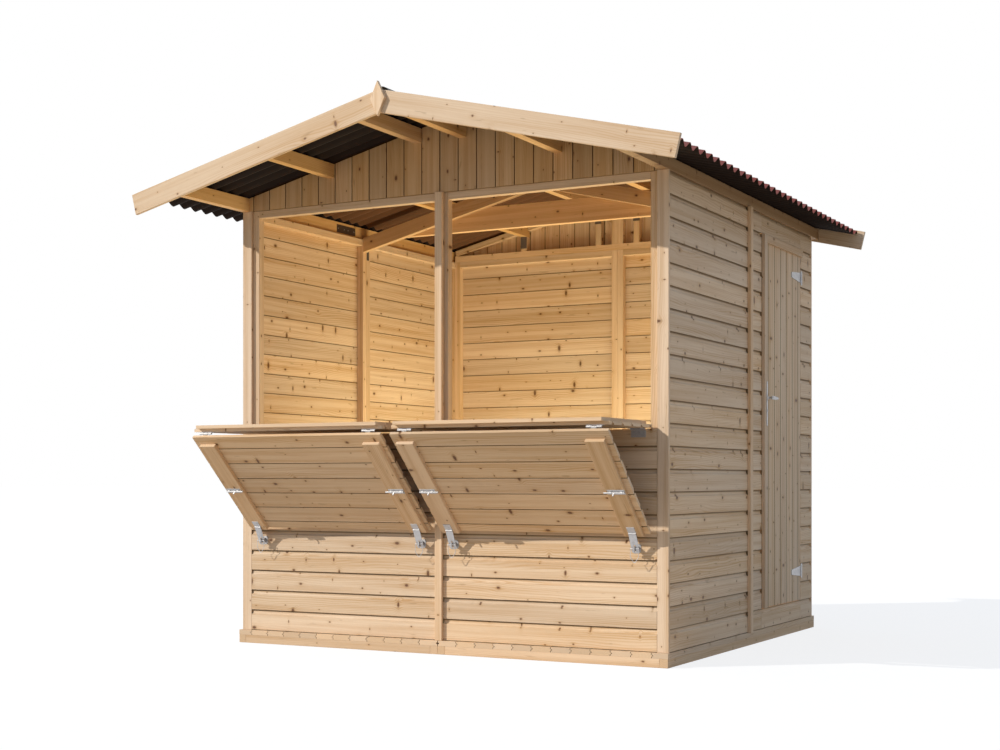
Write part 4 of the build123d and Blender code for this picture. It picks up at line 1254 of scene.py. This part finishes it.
class HUT_OT_ridge_cap(bpy.types.Operator):
    """Roll the black cap over the ridge"""

    bl_idname = "hut.ridge_cap"
    bl_label = "Ridge cap"

    def execute(self, context):
        (low, high), = boxes_of("ridge_cap")
        fall, thick = tan(context.scene.hut_roof.pitch), 0.004
        roll, drop = 0.045, 0.017  # half width of the roll, and its height over the wings
        crown = high.z - thick

        def wing(x):
            """Height of a wing this far from the middle."""
            return crown - drop - fall * x

        shares = [step / 8 - 1 for step in range(1, 16)]
        rise = crown - wing(roll)
        arc = [(-roll * a, wing(roll) + rise * (1 - abs(a) ** 2.2)) for a in shares]
        ends = [(high.x, wing(high.x)), (roll, wing(roll))]
        lower = ends + arc + [(-x, z) for x, z in reversed(ends)]
        upper = [(x, z + thick) for x, z in lower]
        cap = prism([(z, x) for x, z in lower + upper[::-1]], high.y - low.y)
        ease(cap, 0.0006, turn=1.2)
        work = bmesh.new()
        add(work, cap, axes(Y, Z, X, at=(0, low.y, 0)))
        out, inset, gaps, sink = 0.128, 0.06, 16, 0.0004
        for side in BOTH:
            slope = pitched(side)
            for k in range(gaps + 1):
                y = low.y + inset + k * (high.y - low.y - 2 * inset) / gaps
                nail_cap(work, slope, (side * out, y, wing(out) + thick - sink))
        place_piece("ridge_cap_roll", work, "ridge_cap")
        return {"FINISHED"}


class HUT_OT_barge_boards(bpy.types.Operator):
    """Fix the barge boards and the diamond finials"""

    bl_idname = "hut.barge_boards"
    bl_label = "Barge boards"

    def execute(self, context):
        for wall in ("front", "rear"):
            name, node = f"{wall}_roof_edge_boards", f"{wall}_barge_boards"
            work, rng = bmesh.new(), dice(name)
            for side in BOTH:
                timbers(
                    work, node, rng, turned=pitched(side), grain=0,
                    only=lambda at: at.x * side > 0,
                )
            place_piece(name, work, node, finish="barge_boards")
        timber_piece("diamond_finials", "finials", grain=2)
        return {"FINISHED"}


class HUT_OT_door(bpy.types.Operator):
    """Make the door: upright boards, ledges behind, and the strip that covers its edge"""

    bl_idname = "hut.door"
    bl_label = "Door"

    def execute(self, context):
        node = "door_boards"
        boarded_piece("door_leaf_boarding", node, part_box(node), Y, X, vee_jointed)
        timber_piece("door_cross_ledges", "door_ledges")
        timber_piece("door_edge_strips", "door_trim")
        return {"FINISHED"}


class HUT_OT_counters(bpy.types.Operator):
    """Make the two counter leaves and the frames of battens on them"""

    bl_idname = "hut.counters"
    bl_label = "Counters"

    def execute(self, context):
        t = context.scene.hut_timber
        for side in SIDES.values():
            leaf, node = f"counter_{side}", f"counter_{side}_boards"
            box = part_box(node)
            first = span(*box, -Y)[0] + t.first_counter_joint - t.cover
            boarded_piece(f"{leaf}_boarding", node, box, -Y, -Z, shiplap, first=first)
            timber_piece(f"{leaf}_top_frame", f"{leaf}_battens")
        return {"FINISHED"}


def leaf_axes(side, joint, lean=0.0):
    """Axes of a strut leaf or its hasps at their hinge: Y towards the foot, Z to the wall."""
    fall = radians(180 - joints[f"strut_{side}_fold"]["range_deg"][1] + lean)
    down, inward = Vector((0, cos(fall), -sin(fall))), Vector((0, sin(fall), cos(fall)))
    return axes(X, down, inward, at=(0, *joints[joint]["pos_m"][1:]))


class HUT_OT_struts(bpy.types.Operator):
    """Make the two strut leaves that hold the counters up"""

    bl_idname = "hut.struts"
    bl_label = "Struts"

    def execute(self, context):
        t = context.scene.hut_timber
        for side in SIDES.values():
            leaf, node = f"strut_{side}", f"strut_{side}_boards"
            turned = leaf_axes(side, f"{leaf}_fold")
            box, = boxes_of(node, turned)
            first = box[0].y + t.first_strut_joint - t.cover
            boarded_piece(
                f"{leaf}_boarding", node, box, Y, Z, shiplap, first=first, turned=turned
            )
            timber_piece(f"{leaf}_face_battens", f"{leaf}_battens", turned=turned, grain=1)
        return {"FINISHED"}


class HUT_OT_hinges(bpy.types.Operator):
    """Fit the hinges of the counters and of the door"""

    bl_idname = "hut.hinges"
    bl_label = "Hinges"

    def execute(self, context):
        work = bmesh.new()
        wall_plate = -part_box("rear_boards")[1].y - METAL
        for low, high in metal_copy(work, "hinge_plates"):
            size, centre = high - low, (low + high) / 2
            if size.x > size.y:  # under a counter
                for share in (-0.34, 0.34):
                    spot = (centre.x + share * size.x, wall_plate, low.z + 0.014)
                    screw_head(work, facing(-Y, spot))
            else:  # beside the door
                for share in (-0.36, 0.0, 0.36):
                    spot = (low.x + METAL, high.y - 0.010, centre.z + share * size.z)
                    screw_head(work, facing(X, spot))
        place_piece("fixed_hinge_leaves", work, "hinge_plates")
        outer_row = -1.4  # the leaves further out than this are at the counter's outer edge
        for side in SIDES.values():
            work = bmesh.new()
            for low, high in metal_copy(work, f"counter_{side}_hinges"):
                centre = (low + high) / 2
                y = centre.y + (0.006 if centre.y > outer_row else 0.009)
                for share in (-0.34, 0.34):
                    spot = (centre.x + share * (high.x - low.x), y, high.z - METAL)
                    screw_head(work, facing(-Z, spot))
            place_piece(f"counter_{side}_hinge_leaves", work, f"counter_{side}_hinges")
        work = bmesh.new()
        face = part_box("door_boards")[1].x + 0.004
        places = ((0.10, 0.0), (0.42, 0.011), (0.42, -0.011), (0.80, 0.017), (0.80, -0.017))
        for low, high in metal_copy(work, "door_straps"):
            for share, lift in places:
                spot = (face, low.y + share * (high.y - low.y), (low.z + high.z) / 2 + lift)
                screw_head(work, facing(X, spot), 0.0042)
        place_piece("door_strap_hinges", work, "door_straps")
        return {"FINISHED"}


class HUT_OT_fastenings(bpy.types.Operator):
    """Fit the hasps, staples with their linchpins, barrel bolts and the door handle"""

    bl_idname = "hut.fastenings"
    bl_label = "Fastenings"

    def execute(self, context):
        self.staples()
        for side in SIDES.values():
            self.strut_fittings(side)
            self.hasps(side)
        self.handle()
        return {"FINISHED"}

    def staples(self):
        """Staples, each on a plate with four screws."""
        work = bmesh.new()
        wide, tall, drop = 0.030, 0.044, 0.003
        for solid, low, high in solids_of("staples"):
            middle, face = (low.x + high.x) / 2, high.y - METAL
            trim(solid, (0, face, 0), Y)
            ease(solid, 0.0005, shortest=0.010, turn=1.2)
            lay_metal(solid)
            add(work, solid, UPRIGHT)
            foot = Vector((middle - wide / 2, face, high.z - tall - drop))
            head = Vector((middle + wide / 2, high.y, high.z - drop))
            plate(work, foot, head, corner=0.011)
            for x in (middle - 0.0095, middle + 0.0095):
                for z in (foot.z + 0.008, head.z - 0.008):
                    screw_head(work, facing(-Y, (x, face, z)), 0.0030)
        place_piece("staples_with_linchpins", work, "staples")

    def strut_fittings(self, side):
        """What is screwed to a strut leaf: bolts, the fixed halves of hasps, hinge leaves."""
        turned = leaf_axes(side, f"strut_{side}_fold")
        work = bmesh.new()
        for low, high in metal_copy(work, f"strut_{side}_fittings", turned):
            width, middle = high.x - low.x, (low.x + high.x) / 2
            if width > 0.09:  # a barrel bolt
                self.bolt_straps(work, low, high, turned)
                continue
            if width < 0.05:  # the fixed half of a hasp
                out, share, y, z = -Z, 0.3, low.y + 0.009, high.z - METAL
            else:  # a hinge leaf at the fold
                out, share, y, z = Z, 0.34, high.y - 0.009, low.z + METAL
            for way in BOTH:
                spot = (middle + way * share * width, y, z)
                screw_head(work, turned @ facing(out, spot))
        place_piece(f"strut_{side}_ironwork", work, f"strut_{side}_fittings")

    def bolt_straps(self, work, low, high, turned):
        """Two bands over the barrel of a bolt, and the screws of its plate."""
        length, thick, width = 0.088, 0.002, 0.012
        middle, radius = low.y + 0.015, 0.0058
        pin = high.z - thick - 0.0045
        # The plate lies at the end that is further from the rod's end.
        centre, joint = (low.x + high.x) / 2, 0.608
        start = low.x if centre < (joint if centre > 0 else -joint) else high.x - length
        for share in (0.18, 0.82):
            x = start + share * length
            arch = [
                (middle + radius * cos(a), pin - radius * sin(a))
                for a in [k * pi / 10 for k in range(11)]
            ]
            foot = high.z - 0.001
            band = prism([(middle + radius, foot), *arch, (middle - radius, foot)], width)
            ease(band, 0.0006, shortest=0.003, turn=1.2)
            add(work, band, turned @ Matrix.Translation((x - width / 2, 0, 0)))
            for lift in (-0.0105, 0.0105):
                spot = (x, middle + lift, high.z - thick)
                screw_head(work, turned @ facing(-Z, spot), 0.0028)

    def hasps(self, side):
        """The flaps of a leaf's hasps, with their outer corners rounded."""
        turned = leaf_axes(side, f"hasps_{side}_hinge", lean=20.0)
        work = bmesh.new()
        for solid, low, high in solids_of(f"hasps_{side}", turned):
            tips = []
            for edge in solid.edges:
                a, b = (vert.co for vert in edge.verts)
                at_side = min(abs(a.x - low.x), abs(a.x - high.x)) < NEAR
                if at_side and abs(a.x - b.x) < WELD and min(a.y, b.y) > high.y - NEAR:
                    tips.append(edge)
            if tips:
                bevel(solid, tips, 0.015, segments=6)
            ease(solid, 0.0004, shortest=0.004, turn=1.2)
            add(work, solid, turned)
        place_piece(f"hasp_flaps_{side}", work, f"hasps_{side}")

    def handle(self):
        """A long narrow plate, a round neck and a lever that narrows towards its end."""
        low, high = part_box("door_handle")
        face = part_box("door_trim")[1].x
        top = face + 0.003
        y, z = low.y + 0.009, low.z + 0.157
        work = bmesh.new()
        foot, head = Vector((face, low.y, low.z)), Vector((top, low.y + 0.018, high.z))
        plate(work, foot, head, corner=0.0085, easing=0.0008)
        turned_shape(work, facing(X, (top, y, z)), [
            (0.0, -0.001), (0.0088, -0.001), (0.0088, 0.004), (0.0062, 0.007), (0.0056, 0.020),
            (0.0078, 0.026), (0.0080, 0.0335), (0.0070, 0.0340), (0.0, 0.0340),
        ])
        lever = bmesh.new()
        bmesh.ops.create_cube(lever, size=1.0)
        thick, start = 0.011, y - 0.008
        length = high.y - start
        bmesh.ops.scale(lever, verts=lever.verts, vec=(thick, length, 0.020))
        centre = (top + 0.034 - thick / 2, start + length / 2, z)
        bmesh.ops.translate(lever, verts=lever.verts, vec=centre)
        bmesh.ops.bisect_plane(lever, geom=all_of(lever), plane_co=(0, y + 0.04, 0), plane_no=Y)
        for vert in lever.verts:
            if vert.co.y > high.y - 0.001:
                vert.co.z = z + (vert.co.z - z) * 0.62
        ease(lever, 0.0045, turn=0.9, segments=4)
        add(work, lever, UPRIGHT)
        turned_shape(work, facing(X, (top, y, z - 0.072)), [
            (0.0, -0.001), (0.0072, -0.001), (0.0072, 0.0016), (0.0060, 0.0022),
            (0.0022, 0.0022), (0.0018, 0.0002), (0.0, 0.0002),
        ])
        for screw_z in (low.z + 0.012, high.z - 0.012):
            screw_head(work, facing(X, (top, y, screw_z)), 0.0032)
        place_piece("lever_handle", work, "door_handle")


class HUT_OT_stage(bpy.types.Operator):
    """Set the floor, the light and the camera round the hut"""

    bl_idname = "hut.stage"
    bl_label = "Stage"

    def execute(self, context):
        stage = context.scene.hut_stage
        grid = bmesh.new()
        bmesh.ops.create_grid(grid, x_segments=1, y_segments=1, size=150.0)
        mesh = bpy.data.meshes.new("pale_floor")
        grid.to_mesh(mesh)
        grid.free()
        mesh.materials.append(self.floor_finish())
        floor = link("pale_floor", mesh)

        lamp = bpy.data.lights.new("main_light", "SUN")
        lamp.energy = stage.sun_strength
        lamp.angle = radians(0.6)
        lamp.color = (1.0, 0.95, 0.86)
        way = Vector(stage.sun_direction)
        link("main_light", lamp).rotation_euler = way.to_track_quat("-Z", "Y").to_euler()
        self.inside_light(stage.inside_power)
        self.sky(stage.sky_strength)

        data = bpy.data.cameras.new("hut_camera")
        data.lens = 55.456
        data.sensor_width = 36.0
        data.shift_y = 0.1055
        data.clip_end = 500.0
        camera = link("hut_camera", data)
        camera.location = stage.camera_place
        camera.rotation_euler = (pi / 2, 0, stage.camera_turn)
        context.scene.camera = camera
        context.scene.view_settings.view_transform = "Standard"
        return {"FINISHED"}

    def inside_light(self, power):
        """A warm soft light that rises from the floor boards, as the sun on them throws it."""
        lamp = bpy.data.lights.new("inside_light", "AREA")
        lamp.shape = "RECTANGLE"
        lamp.size, lamp.size_y = 1.9, 1.5
        lamp.energy = power
        lamp.color = (0.96, 0.95, 0.66)
        soft = link("inside_light", lamp)
        soft.location = (0.15, 0.25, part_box("floor_boards")[1].z + 0.09)
        soft.rotation_euler = (pi, 0, 0)
        soft.visible_camera = False

    def floor_finish(self):
        """A pale floor that shows white where it is lit and keeps a soft shadow."""
        n = Nodes(bpy.data.materials.new("pale_studio_floor"))
        seen = n.seen()
        colour = n.mix(seen, (0.62, 0.51, 0.37), (0.80, 0.80, 0.82))
        diffuse = n.new("ShaderNodeBsdfDiffuse", {"Color": colour})
        glow = n.new("ShaderNodeEmission", {"Color": (1, 1, 1, 1), "Strength": 1.12})
        return n.finish(n.mix_shaders(n.times(seen, 0.72), diffuse, glow))

    def sky(self, strength):
        """Soft light from all round, and white where the background itself is seen."""
        n = Nodes(bpy.data.worlds.new("studio"))
        soft = {"Color": (0.80, 1.0, 1.30, 1), "Strength": strength}
        soft = n.new("ShaderNodeBackground", soft)
        white = n.new("ShaderNodeBackground", {"Color": (1, 1, 1, 1)})
        both = n.mix_shaders(n.seen(), soft, white)
        bpy.context.scene.world = n.finish(both, "ShaderNodeOutputWorld")


class HUT_PT_panel(bpy.types.Panel):
    """Lists the hut's pieces and the sizes and colours that can be changed"""

    bl_idname = "HUT_PT_panel"
    bl_label = "Market Hut"
    bl_space_type = "VIEW_3D"
    bl_region_type = "UI"
    bl_category = "Market Hut"

    def draw(self, context):
        scene = context.scene
        for operator in OPERATORS:
            self.layout.operator(operator.bl_idname)
        for group in (scene.hut_timber, scene.hut_roof, scene.hut_finish, scene.hut_stage):
            box = self.layout.box()
            for name in group.__annotations__:
                box.prop(group, name)


GROUPS = {
    "hut_timber": HutTimber, "hut_roof": HutRoof, "hut_finish": HutFinish, "hut_stage": HutStage,
}
OPERATORS = (
    HUT_OT_floor, HUT_OT_wall_boards, HUT_OT_cover_strips, HUT_OT_wall_frames, HUT_OT_gables,
    HUT_OT_roof_frame, HUT_OT_roof_sheets, HUT_OT_ridge_cap, HUT_OT_barge_boards, HUT_OT_door,
    HUT_OT_counters, HUT_OT_struts, HUT_OT_hinges, HUT_OT_fastenings, HUT_OT_stage,
)


def register():
    for group in GROUPS.values():
        bpy.utils.register_class(group)
    for name, group in GROUPS.items():
        setattr(bpy.types.Scene, name, bpy.props.PointerProperty(type=group))
    for operator in OPERATORS:
        bpy.utils.register_class(operator)
    bpy.utils.register_class(HUT_PT_panel)


def unregister():
    bpy.utils.unregister_class(HUT_PT_panel)
    for operator in reversed(OPERATORS):
        bpy.utils.unregister_class(operator)
    for name in GROUPS:
        delattr(bpy.types.Scene, name)
    for group in GROUPS.values():
        bpy.utils.unregister_class(group)


def main():
    """Make the whole hut."""
    register()
    for operator in OPERATORS:
        area, name = operator.bl_idname.split(".")
        getattr(getattr(bpy.ops, area), name)()


if __name__ == "__main__":
    main()
